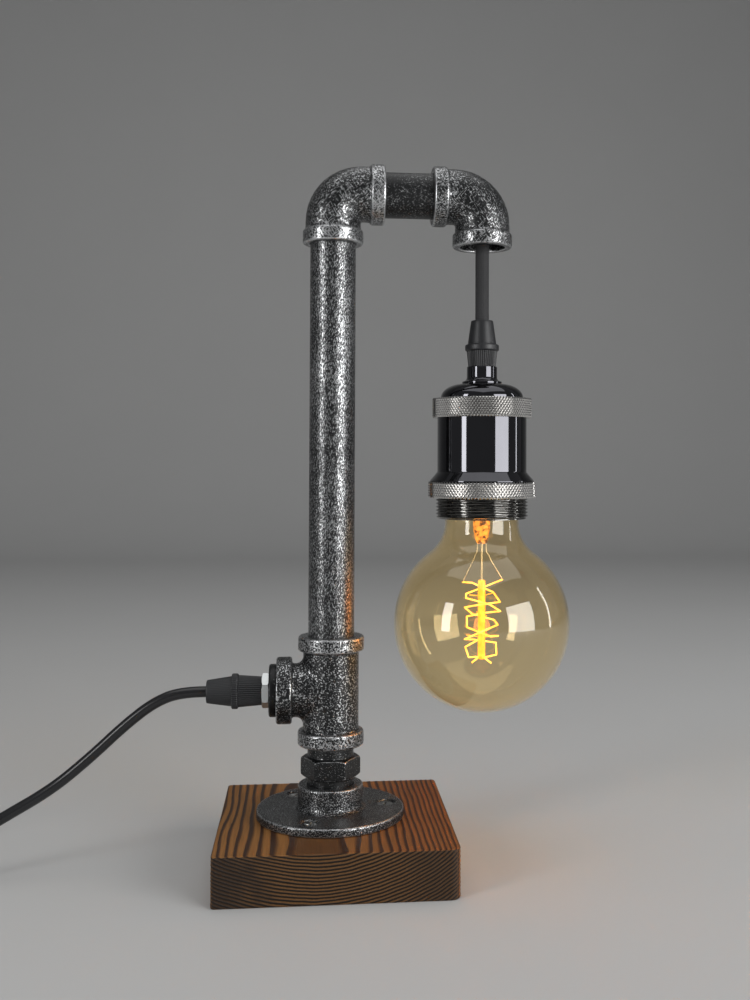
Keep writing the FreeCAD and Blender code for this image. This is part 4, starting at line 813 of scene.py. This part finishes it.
# The stub that goes on into the grip, rounded where the cord bends
def cordStub():
    pivot = pendantSet["gripPivot"]
    data = braidedTube("pendant_cord_end", plumbLine(pivot - pendantSet["stub"], pivot, 24), 72)
    work = bmesh.new()
    work.from_mesh(data)
    radius = (pendantSet["radius"] - 0.06) * mm
    ball = bmesh.ops.create_uvsphere(work, u_segments=48, v_segments=24, radius=radius)
    bmesh.ops.translate(work, vec=(pendantX, 0, pivot), verts=ball["verts"])
    work.to_mesh(data)
    work.free()
    finishMesh("pendant_cord_end", data, braid, "holder", 180)


cordStub()
print("cords laid")


# Timber block: fine faces whose soft wood lies a little lower than the hard, with eased edges
def woodBlock():
    low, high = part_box("wood_base")
    ease = pineSet["edge"] * mm

    def ticks(axis, step):
        start, stop = low[axis], high[axis]
        near = [0, 0.12, 0.3, 0.55, 0.8]
        count = round((stop - start - 2 * ease) / step)
        inner = [start + ease + (stop - start - 2 * ease) * i / count for i in range(1, count)]
        return [start + n * mm for n in near] + inner + [stop - n * mm for n in reversed(near)]

    xs, ys, zs = ticks(0, 0.0005), ticks(1, 0.0016), ticks(2, 0.0005)
    vertices = []
    faces = []

    def side(us, vs, make):
        start = len(vertices)
        vertices.extend(Vector(make(u, v)) for u in us for v in vs)
        for i in range(len(us) - 1):
            for j in range(len(vs) - 1):
                a = start + i * len(vs) + j
                faces.append((a, a + 1, a + len(vs) + 1, a + len(vs)))

    for box in (high, low):
        side(xs, ys, lambda u, v: (u, v, box.z))
        side(xs, zs, lambda u, v: (u, box.y, v))
        side(ys, zs, lambda u, v: (box.x, u, v))
    inset = Vector((ease, ease, ease))
    inLow = low + inset
    inHigh = high - inset
    for index, spot in enumerate(vertices):
        core = Vector([min(max(spot[k], inLow[k]), inHigh[k]) for k in range(3)])
        away = (spot - core).normalized()
        share = (growth(*(spot / mm)) + 0.1) % 1
        start = pineSet["endLate"] if abs(away.y) > 0.7 else pineSet["topLate"]
        late = clamped((share - start) / 0.3) * (1 - clamped((share - 0.93) / 0.07))
        sunk = 0 if spot.z < low.z + 2 * ease else pineSet["relief"] * (1 - late) * mm
        vertices[index] = cornered(core + away * (ease - sunk), low, high)
    data = meshOf("timber_block", vertices, faces)
    counts = data.attributes.new("growth", "FLOAT", "POINT")
    for value, vertex in zip(counts.data, data.vertices):
        value.value = growth(*(vertex.co / mm))
    finishMesh("timber_block", data, stainedPine, "base", 60, ("wood_base",))


# Rounds an upright corner: the square part of the plan near it is drawn in to a quarter circle
def cornered(spot, low, high):
    right = spot.x > (low.x + high.x) / 2
    back = spot.y > (low.y + high.y) / 2
    radius = (pineSet["wornCorner"] if right and not back else pineSet["corner"]) * mm
    across = spot.x - (high.x - radius) if right else low.x + radius - spot.x
    aside = spot.y - (high.y - radius) if back else low.y + radius - spot.y
    if across <= 0 or aside <= 0:
        return spot
    drawn = max(across, aside) / math.hypot(across, aside) - 1
    spot.x += across * drawn * (1 if right else -1)
    spot.y += aside * drawn * (1 if back else -1)
    return spot


woodBlock()
print("block made")

for node, (name, paint, voxel, uneven, bands) in castings.items():
    casting(node, name, paint, voxel, uneven, bands)
print("castings made")


def lengthOf(node, axis):
    low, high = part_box(node)
    return abs((high - low) @ Vector(axis)) / mm


# Where a piece of this length starts, when its middle is the middle of its node's box
def startOf(node, axis, length):
    low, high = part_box(node)
    return (low + high) / 2 - Vector(axis) * (length * mm / 2)


pipeSet = {"outside": 10.65, "bore": 8.0, "chamfer": 0.7, "uneven": 0.035}


def pipePiece(node, name, paint, axis):
    length = lengthOf(node, axis)
    radius, bore, chamfer = pipeSet["outside"], pipeSet["bore"], pipeSet["chamfer"]
    rings = int(length / 1.5)
    outline = [(bore, 0), (radius - chamfer, 0)]
    outline += [(radius, chamfer + (length - 2 * chamfer) * i / rings) for i in range(rings + 1)]
    outline += [(radius - chamfer, length), (bore, length)]

    def uneven(r, level, angle):
        if r < radius - 0.01:
            return r, level
        spot = Vector((math.cos(angle) * 1.3, math.sin(angle) * 1.3, level * 0.05))
        return r + (noise.noise(spot) - 1) * pipeSet["uneven"], level

    start = startOf(node, axis, length)
    look = {"segments": 144, "shape": uneven}
    turnedPiece(name, outline, start, rubbed[paint], bodyOf(node), "rubbed_pipe", axis, (node,), 40, **look)


pipePiece("riser_pipe", "riser_tube", "pipe", (0, 0, 1))
pipePiece("arm_nipple", "arm_tube", "arm", (1, 0, 0))
print("pipes made")

# Lead gland and cord grips
gripSet = {
    "ribs": 46,
    "ribDepth": 0.32,
    "barrelSeat": 6.45,
    "barrelTop": 7.25,
    "bore": 5.1,
    "bead": 8.0,
    "beadWidth": 3.1,
    "coneLength": 11.4,
    "coneBase": 6.8,
    "coneTip": 5.3,
}


# The wave that runs round a grip's ribs, from 0 on their crests to 1 between them
def ribWave(angle):
    return (0.5 - 0.5 * math.cos(gripSet["ribs"] * angle)) ** 2


def gripPiece(node, name, axis, outline, length, shape):
    start = startOf(node, axis, length)
    look = {"segments": gripSet["ribs"] * 8, "shape": shape}
    turnedPiece(name, outline, start, plain["grip_plastic"], bodyOf(node), None, axis, (node,), 50, **look)


def gripBarrel(node, name, axis):
    length = lengthOf(node, axis)
    g = gripSet
    rows = 10
    widen = (g["barrelTop"] - g["barrelSeat"]) / rows
    side = [(g["barrelSeat"] + widen * i, length * i / rows) for i in range(rows + 1)]

    def ribbed(radius, level, angle):
        if radius < g["bore"] + 0.4:
            return radius, level
        return radius - g["ribDepth"] * ribWave(angle), level

    gripPiece(node, name, axis, [(g["bore"], 0)] + side + [(g["bore"], length)], length, ribbed)


def gripCap(node, name, axis, hole, toothed):
    g = gripSet
    w = g["beadWidth"]
    total = w + g["coneLength"]
    slope = (g["coneBase"] - g["coneTip"]) / 8
    outline = [(hole, 0), (g["bead"], 0, 0.9), (g["bead"], w, 0.9), (g["coneBase"], w, 0.3)]
    outline += [(g["coneBase"] - slope * i, w + (g["coneLength"] - 0.7) * i / 8) for i in range(1, 9)]
    outline += [(g["coneTip"] - 0.2, total, 0.6), (hole, total)]

    def teeth(radius, level, angle):
        if toothed and radius > g["coneTip"]:
            depth = 0.3 if radius > g["coneBase"] + 0.5 else 0.12
            radius -= depth * ribWave(angle)
        return radius, level

    gripPiece(node, name, axis, outline, total, teeth)


gripBarrel("mains_grip_barrel", "lead_grip_barrel", (-1, 0, 0))
gripCap("mains_grip_cap", "lead_grip_cap", (-1, 0, 0), 2.8, True)
gripBarrel("pendant_grip_barrel", "cord_grip_barrel", (0, 0, 1))
gripCap("pendant_grip_cap", "cord_grip_cap", (0, 0, 1), 3.5, False)
print("grips made")

# Lamp holder
holderAxis = Vector((pendantX, 0, 0))


def holderLevel(node):
    low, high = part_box(node)
    return low.z / mm, high.z / mm


capLow, capHigh = holderLevel("holder_cap")
shellLow, shellHigh = holderLevel("holder_shell")
ringLow, ringHigh = holderLevel("shade_ring")
collarLow, collarHigh = holderLevel("holder_collar")
holderSet = {
    "dome": (9.6, 9.9, 6.5),  # the radius where it starts to fall, its reach from there and its height
    "rimRadius": 23.4,
    "rimHeight": 9.1,
    "rimDiamonds": (100, 8),
    "bore": 19.15,
    "spigot": 20.9,
    "shell": 21.05,
    "flare": 24.5,
    "flareHeight": 4.6,
    "threadRoot": 20.7,
    "threadCrest": 21.65,
    "threadPitch": 1.58,
    "ringRadius": 25.2,
    "ringBore": 21.9,
    "ringDiamonds": (95, 6),
    "knurlDepth": 0.5,
}


# Knurl: little four sided points set in staggered rows round the ring that the modifier is on
def knurlTree():
    tree = bpy.data.node_groups.new("knurl", "GeometryNodeTree")
    sizes = dict.fromkeys(("Radius", "Bottom", "Height", "Depth", "Across"), "Float")
    kinds = {"Geometry": "Geometry", **sizes, "Around": "Int", "Rows": "Int", "Material": "Material"}
    for name, kind in kinds.items():
        tree.interface.new_socket(name, in_out="INPUT", socket_type="NodeSocket" + kind)
    tree.interface.new_socket("Geometry", in_out="OUTPUT", socket_type="NodeSocketGeometry")
    given = tree.nodes.new("NodeGroupInput").outputs

    def calc(operation, first, second=0.0):
        return mathNode(tree, operation, first, second)

    def vector(x, y, z):
        return addNode(tree, "ShaderNodeCombineXYZ", {0: x, 1: y, 2: z}).outputs[0]

    def geometry(kind, inputs, **settings):
        return addNode(tree, kind, inputs, **settings).outputs[0]

    points = geometry("GeometryNodePoints", {"Count": calc("MULTIPLY", given["Around"], given["Rows"])})
    index = geometry("GeometryNodeInputIndex", {})
    row = calc("FLOOR", calc("DIVIDE", index, given["Around"]))
    column = calc("MODULO", index, given["Around"])
    stagger = calc("MULTIPLY", calc("MODULO", row, 2.0), 0.5)
    angle = calc("MULTIPLY", calc("DIVIDE", calc("ADD", column, stagger), given["Around"]), math.tau)
    cosine = calc("COSINE", angle)
    sine = calc("SINE", angle)
    step = calc("DIVIDE", given["Height"], given["Rows"])
    level = calc("ADD", calc("MULTIPLY", calc("ADD", row, 0.5), step), given["Bottom"])
    x = calc("ADD", calc("MULTIPLY", cosine, given["Radius"]), given["Across"])
    spot = vector(x, calc("MULTIPLY", sine, given["Radius"]), level)
    placed = geometry("GeometryNodeSetPosition", {"Geometry": points, "Position": spot})
    align = "FunctionNodeAlignRotationToVector"
    out = geometry(align, {"Vector": vector(cosine, sine, 0.0)}, axis="Z")
    upright = geometry(align, {"Rotation": out, "Vector": (0, 0, 1)}, axis="X", pivot_axis="Z")
    inputs = {"Vertices": 4, "Radius Top": 0.0, "Radius Bottom": 1.0, "Depth": 1.0}
    cone = geometry("GeometryNodeMeshCone", inputs, fill_type="NONE")
    girth = calc("DIVIDE", calc("MULTIPLY", given["Radius"], math.tau), given["Around"])
    size = vector(step, calc("MULTIPLY", girth, 0.5), given["Depth"])
    inputs = {"Points": placed, "Instance": cone, "Rotation": upright, "Scale": size}
    scattered = geometry("GeometryNodeInstanceOnPoints", inputs)
    joined = tree.nodes.new("GeometryNodeJoinGeometry")
    for part in (scattered, given["Geometry"]):
        tree.links.new(part, joined.inputs[0])
    real = geometry("GeometryNodeRealizeInstances", {"Geometry": joined.outputs[0]})
    finish = geometry("GeometryNodeSetMaterial", {"Geometry": real, "Material": given["Material"]})
    tree.links.new(finish, tree.nodes.new("NodeGroupOutput").inputs[0])
    return tree


# Runs a Geometry Nodes tree on a mesh and gives back the plain mesh
def throughTree(data, tree, values):
    carrier = bpy.data.objects.new("carrier", data)
    bpy.context.scene.collection.objects.link(carrier)
    modifier = carrier.modifiers.new("made", "NODES")
    modifier.node_group = tree
    for item in tree.interface.items_tree:
        if item.item_type == "SOCKET" and item.in_out == "INPUT" and item.name in values:
            modifier[item.identifier] = values[item.name]
    carrier.update_tag()
    graph = bpy.context.evaluated_depsgraph_get()
    made = bpy.data.meshes.new_from_object(carrier.evaluated_get(graph))
    bpy.data.objects.remove(carrier)
    return made


knurl = knurlTree()


def knurled(node, name, outline, radius, bottom, height, diamonds, body):
    around, rows = diamonds
    depth = holderSet["knurlDepth"]
    values = {
        "Radius": (radius + depth / 2 - 0.05) * mm,
        "Bottom": bottom * mm,
        "Height": height * mm,
        "Depth": depth * mm,
        "Across": pendantX,
        "Around": around,
        "Rows": rows,
        "Material": knurlNickelPaintedSheen,
    }
    made = throughTree(meshOf(name, *turned(outline, holderAxis, segments=around * 2)), knurl, values)
    finishMesh(name, made, knurlNickelPaintedSheen, body, 30, (node,))


def holderPiece(name, outline, **form):
    turnedPiece(name, outline, holderAxis, blackNickel, "holder", **form)


def collarAndCap():
    h = holderSet
    foot = collarLow + 6.2
    top = collarHigh - 6.2
    collar = [(3.8, collarLow), (5.0, collarLow), (5.0, foot), (9.4, foot, 0.3), (9.4, foot + 1.2, 0.4)]
    collar += arcPoints((9.4, foot + 3.45), 2.25, -90, -180, 6)[1:]
    collar += [(7.15, top, 0.35), (5.0, top), (5.0, collarHigh), (3.8, collarHigh)]
    holderPiece("turned_collar", collar, replaces=("holder_collar",))
    rimTop = capLow + h["rimHeight"]
    middle, reach, rise = h["dome"]
    dome = [(17.7, rimTop - 1.0), (middle + reach, rimTop - 1.0)]
    for radius, level in arcPoints((0, 0), 1, 0, 90, 16):
        dome.append((middle + reach * radius, capHigh - rise + rise * level))
    dome += [(5.1, capHigh), (5.1, capHigh - 2), (11.0, capHigh - 2), (17.7, rimTop)]
    holderPiece("cap_dome", dome, steps=6)
    inner = h["rimRadius"] - h["knurlDepth"]
    seat = capLow + 6.15
    rim = [(h["shell"], capLow), (inner - 0.5, capLow, 0.2), (inner, capLow + 0.5, 0.2)]
    rim += [(inner, rimTop - 0.5, 0.2), (inner - 0.5, rimTop, 0.2), (18.0, rimTop)]
    rim += [(18.0, seat), (h["shell"], seat)]
    height = h["rimHeight"] - 0.7
    knurled("holder_cap", "knurled_rim", rim, inner, capLow + 0.35, height, h["rimDiamonds"], "holder")


def shellAndRing():
    h = holderSet
    shell = [(h["bore"], ringHigh), (h["flare"], ringHigh, 0.15), (h["flare"], ringHigh + 0.5, 0.3)]
    shell += [(h["shell"], ringHigh + h["flareHeight"], 1.2), (h["shell"], capLow), (h["spigot"], capLow)]
    shell += [(h["spigot"], shellHigh), (h["bore"], shellHigh)]
    holderPiece("holder_body", shell, segments=160, replaces=("holder_shell",))
    threadSleeve()
    inner = h["ringRadius"] - h["knurlDepth"]
    ring = [(h["ringBore"], ringLow), (inner - 0.6, ringLow, 0.2), (inner, ringLow + 0.6, 0.2)]
    ring += [(inner, ringHigh - 0.7, 0.2), (inner - 0.6, ringHigh - 0.1, 0.2)]
    ring.append((h["ringBore"], ringHigh - 0.1))
    height = ringHigh - ringLow - 0.8
    diamonds = h["ringDiamonds"]
    knurled("shade_ring", "knurled_shade_ring", ring, inner, ringLow + 0.4, height, diamonds, "shade_ring")


# The sleeve's outside thread, a true helix that runs out at both ends
def threadSleeve():
    h = holderSet
    low, high = shellLow, ringHigh
    rows = int((high - low) / (h["threadPitch"] / 10))
    outline = [(h["bore"], low), (h["threadRoot"] - 0.3, low)]
    outline += [(h["threadRoot"], low + 0.15 + (high - low - 0.2) * i / rows) for i in range(rows + 1)]
    outline += [(h["bore"], high)]

    def helix(radius, level, angle):
        if radius < h["threadRoot"] - 0.05:
            return radius, level
        share = ((level - low) / h["threadPitch"] - angle / math.tau) % 1
        ridge = clamped(1.6 * (1 - abs(share * 2 - 1)) - 0.25)
        fade = clamped(min(level - low, high - level) / 1.2)
        return radius + (h["threadCrest"] - h["threadRoot"]) * ridge * fade, level

    look = {"segments": 120, "shape": helix, "sharp": 50}
    turnedPiece("holder_thread", outline, holderAxis, threadNickel, "holder", "black_nickel", **look)


collarAndCap()
shellAndRing()
print("holder made")

# Globe bulb
bulbSet = {
    "radius": 41.2,
    "wall": 0.8,
    "neck": 17.3,
    "fillet": 18.0,
    "neckTop": 159.0,
    "shoulder": 3.4,
    "seam": 11.6,
    "seamTop": 168.0,
}


def bulbOutline(shrink):
    b = bulbSet
    centre = holderLevel("bulb_glass")[0] + b["radius"]
    ring = b["neck"] + b["fillet"]
    up = math.sqrt((b["radius"] + b["fillet"]) ** 2 - ring ** 2)
    angle = math.degrees(math.atan2(up, ring))
    outline = [(0, centre - b["radius"] + shrink)]
    outline += arcPoints((0, centre), b["radius"] - shrink, -90, angle, 84)[1:]
    outline += arcPoints((ring, centre + up), b["fillet"] + shrink, 180 + angle, 180, 16)[1:]
    outline += arcPoints((b["neck"] - b["shoulder"], b["neckTop"]), b["shoulder"] - shrink, 0, 90, 8)
    seam = b["seam"] - shrink
    outline += [(seam, b["neckTop"] + b["shoulder"] - shrink), (seam, b["seamTop"])]
    return outline


glass = bulbOutline(0) + list(reversed(bulbOutline(bulbSet["wall"])))
look = {"segments": 160, "closed": False, "sharp": 70, "replaces": ("bulb_glass",)}
turnedPiece("globe_glass", glass, holderAxis, amberGlass, "bulb", **look)

# Stem: a glass tube pinched flat at its foot, and the rod below it, both given a painted orange glow of the
# filament's light
stemSet = {"tube": 4.0, "rod": 1.7, "rodTop": 128.8, "rodBottom": 91.6, "pinch": 145.5}


def stemPiece(name, outline, finish, slot, segments, **form):
    turnedPiece(name, outline, holderAxis, finish, "bulb", slot, segments=segments, closed=False, **form)


def bulbStem():
    s = stemSet
    pinch, rodTop = s["pinch"], s["rodTop"]
    rod = [(0, s["rodBottom"]), (s["rod"], s["rodBottom"], 0.8), (s["rod"], rodTop, 0.8), (0, rodTop)]
    stemPiece("stem_rod", rod, rodPaintedGlow, "stem_glass", 32)
    wire = [(0, rodTop - 0.5), (0.5, rodTop - 0.5), (0.5, pinch + 3), (0, pinch + 3)]
    stemPiece("stem_wire", wire, plain["wire_nickel"], None, 16)
    top = bulbSet["seamTop"]
    tube = [(0, pinch), (2.2, pinch, 0.8), (3.2, pinch + 3.0, 1.5), (s["tube"], pinch + 7, 2.0)]
    tube += [(s["tube"], top - 6, 2), (7.5, top - 1.5, 2), (10.4, top - 0.6), (10.4, top), (0, top)]

    def pinched(radius, level, angle):
        squeeze = 1 - 0.55 * clamped((pinch + 8 - level) / 8) * abs(math.sin(angle)) ** 1.5
        lump = 1 + 0.08 * noise.noise(Vector((math.cos(angle) * 2, math.sin(angle) * 2, level * 0.5)))
        return radius * squeeze * lump, level

    stemPiece("stem_tube", tube, stemGlow, "stem_glass", 48, shape=pinched, replaces=("bulb_stem",))


bulbStem()

# Filament: two strands wound round the rod in flat sided turns, crossing below it
filamentSet = {
    "radius": 9.0,
    "wire": 0.4,
    "top": 127.8,
    "bottom": 94.5,
    "sides": 5,
    "turns": 2.6,
    "cross": 91.0,
}


# Thin wires in the bulb, each through a run of points in mm with its corners a little rounded
def bentWires(name, runs, radius, material, replaces=()):
    data = bpy.data.curves.new(name, "CURVE")
    data.dimensions = "3D"
    data.bevel_depth = radius * mm
    data.bevel_resolution = 2
    data.use_fill_caps = True
    for points in runs:
        spline = data.splines.new("BEZIER")
        spline.bezier_points.add(len(points) - 1)
        spots = [Vector(point) * mm for point in points]
        for spot, here, before, after in zip(
            spline.bezier_points, spots, spots[:1] + spots, spots[1:] + spots[-1:]
        ):
            spot.co = here
            spot.handle_left_type = spot.handle_right_type = "FREE"
            spot.handle_left = here.lerp(before, 0.16)
            spot.handle_right = here.lerp(after, 0.16)
    carrier = bpy.data.objects.new(name, data)
    bpy.context.scene.collection.objects.link(carrier)
    graph = bpy.context.evaluated_depsgraph_get()
    mesh = bpy.data.meshes.new_from_object(carrier.evaluated_get(graph))
    bpy.data.objects.remove(carrier)
    outwards(mesh)
    finishMesh(name, mesh, material, "bulb", 180, replaces)


def filamentRuns(x):
    f = filamentSet
    corners = int(f["sides"] * f["turns"])
    runs = []
    for side in (0, 1):
        points = []
        for corner in range(corners + 1):
            angle = math.radians(180 + 180 * side + 360 / f["sides"] * corner * (1 if side else -1))
            reach = f["radius"] * (1 + 0.13 * math.sin(corner * 2.3 + side))
            sag = 1.2 * math.sin(corner * 1.7 + side * 2)
            level = f["top"] + (f["bottom"] - f["top"]) * corner / corners + sag
            points.append((x + reach * math.cos(angle), reach * math.sin(angle), level))
        tip = -1 if side else 1
        points.append((x + tip * 1.0, -0.9 + side * 1.8, f["cross"] + 1.5))
        points.append((x + tip * 4.5, -0.9 + side * 1.8, f["cross"] - 1.2))
        runs.append(points)
    return runs


def filament():
    x = pendantX / mm
    runs = filamentRuns(x)
    bentWires("filament_wire", runs, filamentSet["wire"], filamentGlow, ("filament",))
    pinch = stemSet["pinch"]
    leads = []
    for side, run in zip((-1, 1), runs):
        leads.append([(x + 1.8 * side, 0, pinch + 2), (x + 2.2 * side, 0, pinch - 4), run[0]])
    bentWires("lead_wires_in_bulb", leads, 0.28, plain["wire_nickel"], ("lead_wires",))
    hooks = []
    for number, share in enumerate((0.2, 0.45, 0.72)):
        level = stemSet["rodTop"] + (stemSet["rodBottom"] - stemSet["rodTop"]) * share
        for turn in (30 + 70 * number, 210 + 70 * number):
            out = Vector((math.cos(math.radians(turn)), math.sin(math.radians(turn)), 0))
            hooks.append([Vector((x, 0, level)) + out * 1.2, Vector((x, 0, level + 0.8)) + out * 7.2])
    # the hooks carry the rod's painted filament glow
    bentWires("filament_hooks", hooks, 0.2, rodPaintedGlow)


filament()

# The filament's own light, which moves with the bulb and isn't seen itself
glowSet = {"power": 0.13, "colour": (1.0, 0.3, 0.06), "radius": 0.004, "height": 0.11}


def filamentLight():
    lamp = bpy.data.lights.new("filament_light", "POINT")
    lamp.energy = glowSet["power"]
    lamp.color = glowSet["colour"]
    lamp.shadow_soft_size = glowSet["radius"]
    item = bpy.data.objects.new("filament_light", lamp)
    item.location = (pendantX, 0, glowSet["height"])
    item.visible_camera = False
    item.visible_diffuse = False
    item.visible_transmission = False
    bpy.context.scene.collection.objects.link(item)
    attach(item, "bulb")


filamentLight()
print("bulb made")

# Flange screws, with a cross recess in each head
screwSet = {"circle": 25.8, "turn": 7.7, "head": 4.1, "shank": 1.75, "recess": 1.2}


def flangeScrews():
    low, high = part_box("flange_screws")
    bottom, top = low.z / mm, high.z / mm
    vertices = []
    faces = []
    for number in range(3):
        angle = math.radians(screwSet["turn"] + 120 * number)
        base = Vector((math.cos(angle), math.sin(angle), 0)) * (screwSet["circle"] * mm)
        outline = [(0, bottom), (screwSet["shank"], bottom + 1.7), (screwSet["shank"], top - 2.3)]
        outline += [(screwSet["head"], top, 0.15), (2.9, top + 0.02)]
        outline += [(radius, top) for radius in (2.4, 1.9, 1.4, 0.9, 0.45)] + [(0, top - screwSet["recess"])]

        def cross(radius, level, turn, twist=angle * 2.3):
            if radius > 2.45 or level < top - 0.1:
                return radius, level
            width = abs(math.sin(2 * (turn + twist))) * radius
            depth = max(0, 1 - width / 0.75) * min(1, (2.5 - radius) / 0.5)
            return radius, level - screwSet["recess"] * depth

        made, loops = turned(outline, base, segments=64, closed=False, shape=cross)
        start = len(vertices)
        vertices += made
        faces += [[start + v for v in loop] for loop in loops]
    data = meshOf("countersunk_screws", vertices, faces)
    finishMesh("countersunk_screws", data, plain["screw_steel"], "base", 40, ("flange_screws",))


flangeScrews()

# Pieces whose CAD shape is kept: name, finish, bevel in mm and, where it isn't the finish, the slot
copiedSet = {
    "gland_nut": ("gland_lock_nut", "zinc", 0.25),
    "gland_stud": ("gland_tube", "zinc", 0),
    "holder_insert": ("porcelain_insert", "porcelain", 0),
    "socket_sleeve": ("screw_sleeve", "socket_brass", 0),
    "socket_contact": ("centre_contact", "socket_brass", 0),
    "holder_nut": ("cap_nut", "zinc", 0),
    "holder_cord": ("cord_in_holder", "lead_pvc", 0, "braided_cord"),
    "bulb_cap": ("bulb_screw_cap", "bulb_nickel", 0),
    "bulb_insulator": ("bulb_cap_insulator", "insulator_glass", 0),
    "bulb_contact": ("bulb_cap_contact", "solder", 0),
    "switch_base": ("switch_housing_base", "switch_plastic", 0),
    "switch_cover": ("switch_housing_cover", "switch_plastic", 0.25),
    "switch_rocker": ("rocker_button", "rocker_plastic", 0.4),
    "switch_screws": ("switch_cover_screws", "zinc", 0.2),
    "coil_tie": ("lead_tie", "tie_plastic", 0.15),
    "plug_body": ("plug_housing", "plug_plastic", 0.6),
    "plug_pins": ("plug_contact_pins", "pin_metal", 0, "pin_brass"),
    "connector_block": ("wire_connector", "connector_plastic", 0.5),
    "mains_lead_inside": ("lead_in_tee", "lead_pvc", 0),
    "riser_cord": ("cord_in_riser", "lead_pvc", 0, "braided_cord"),
    "arm_cord": ("cord_in_arm", "lead_pvc", 0, "braided_cord"),
    "cord_bush": ("elbow_cord_bush", "grip_plastic", 0),
}
for node, values in copiedSet.items():
    copied(node, *values)

print("screws, switch, plug and inner pieces made")

# Stage: a pale floor that sweeps up behind, soft lamps and an even grey surround
stageSet = {
    "floor": (0.5, 0.5, 0.495),
    "sweepStart": 1.6,
    "sweepRadius": 0.8,
    "wallHeight": 4.0,
    "halfWidth": 6.0,
    "surround": (0.17, 0.172, 0.175),
    "aim": (0.02, 0, 0.15),
}
# Where each lamp stands, its width and height, and its power
lampSet = {
    "right": ((0.95, -0.92, 0.32), (0.85, 0.8), 15.0),
    "left": ((-0.95, -0.72, 0.35), (0.26, 0.8), 6.0),
    "strip": ((1.27, -0.02, 0.4), (0.06, 0.8), 1.2),
    "above": ((0.1, -0.1, 1.5), (1.6, 1.6), 9.0),
}


def addFloor():
    made, tree, shader = makeMaterial("floor")
    grain = noiseAt(tree, objectPlace(tree), 6, 3, 0.5)
    pale = stageSet["floor"]
    colour = mixColour(tree, grain, [c * 0.98 for c in pale], [min(c * 1.02, 1) for c in pale])
    give(tree, shader, {"Base Color": colour, "Roughness": 0.75})
    start, radius, wide = stageSet["sweepStart"], stageSet["sweepRadius"], stageSet["halfWidth"]
    profile = [(-wide, 0)] + arcPoints((start, radius), radius, -90, 0, 16)
    profile.append((start + radius, stageSet["wallHeight"]))
    vertices = [(x, y, z) for y, z in profile for x in (-wide, wide)]
    faces = [(i, i + 1, i + 3, i + 2) for i in range(0, len(vertices) - 2, 2)]
    data = bpy.data.meshes.new("floor")
    data.from_pydata(vertices, [], faces)
    data.shade_smooth()
    data.materials.append(made)
    floor = bpy.data.objects.new("floor", data)
    bpy.context.scene.collection.objects.link(floor)


def addLamp(name, place, size, power):
    lamp = bpy.data.lights.new(name, "AREA")
    lamp.shape = "RECTANGLE"
    lamp.size, lamp.size_y = size
    lamp.energy = power
    item = bpy.data.objects.new(name, lamp)
    item.location = place
    towards = Vector(stageSet["aim"]) - Vector(place)
    item.rotation_euler = towards.to_track_quat("-Z", "Y").to_euler()
    bpy.context.scene.collection.objects.link(item)


def addSurround():
    world = bpy.data.worlds.new("surround")
    world.use_nodes = True
    back = world.node_tree.nodes["Background"]
    give(world.node_tree, back, {"Color": (*stageSet["surround"], 1), "Strength": 1.0})
    bpy.context.scene.world = world
    bpy.context.scene.view_settings.view_transform = "Standard"


addFloor()
for name, values in lampSet.items():
    addLamp(name, *values)
addSurround()
print("stage set")
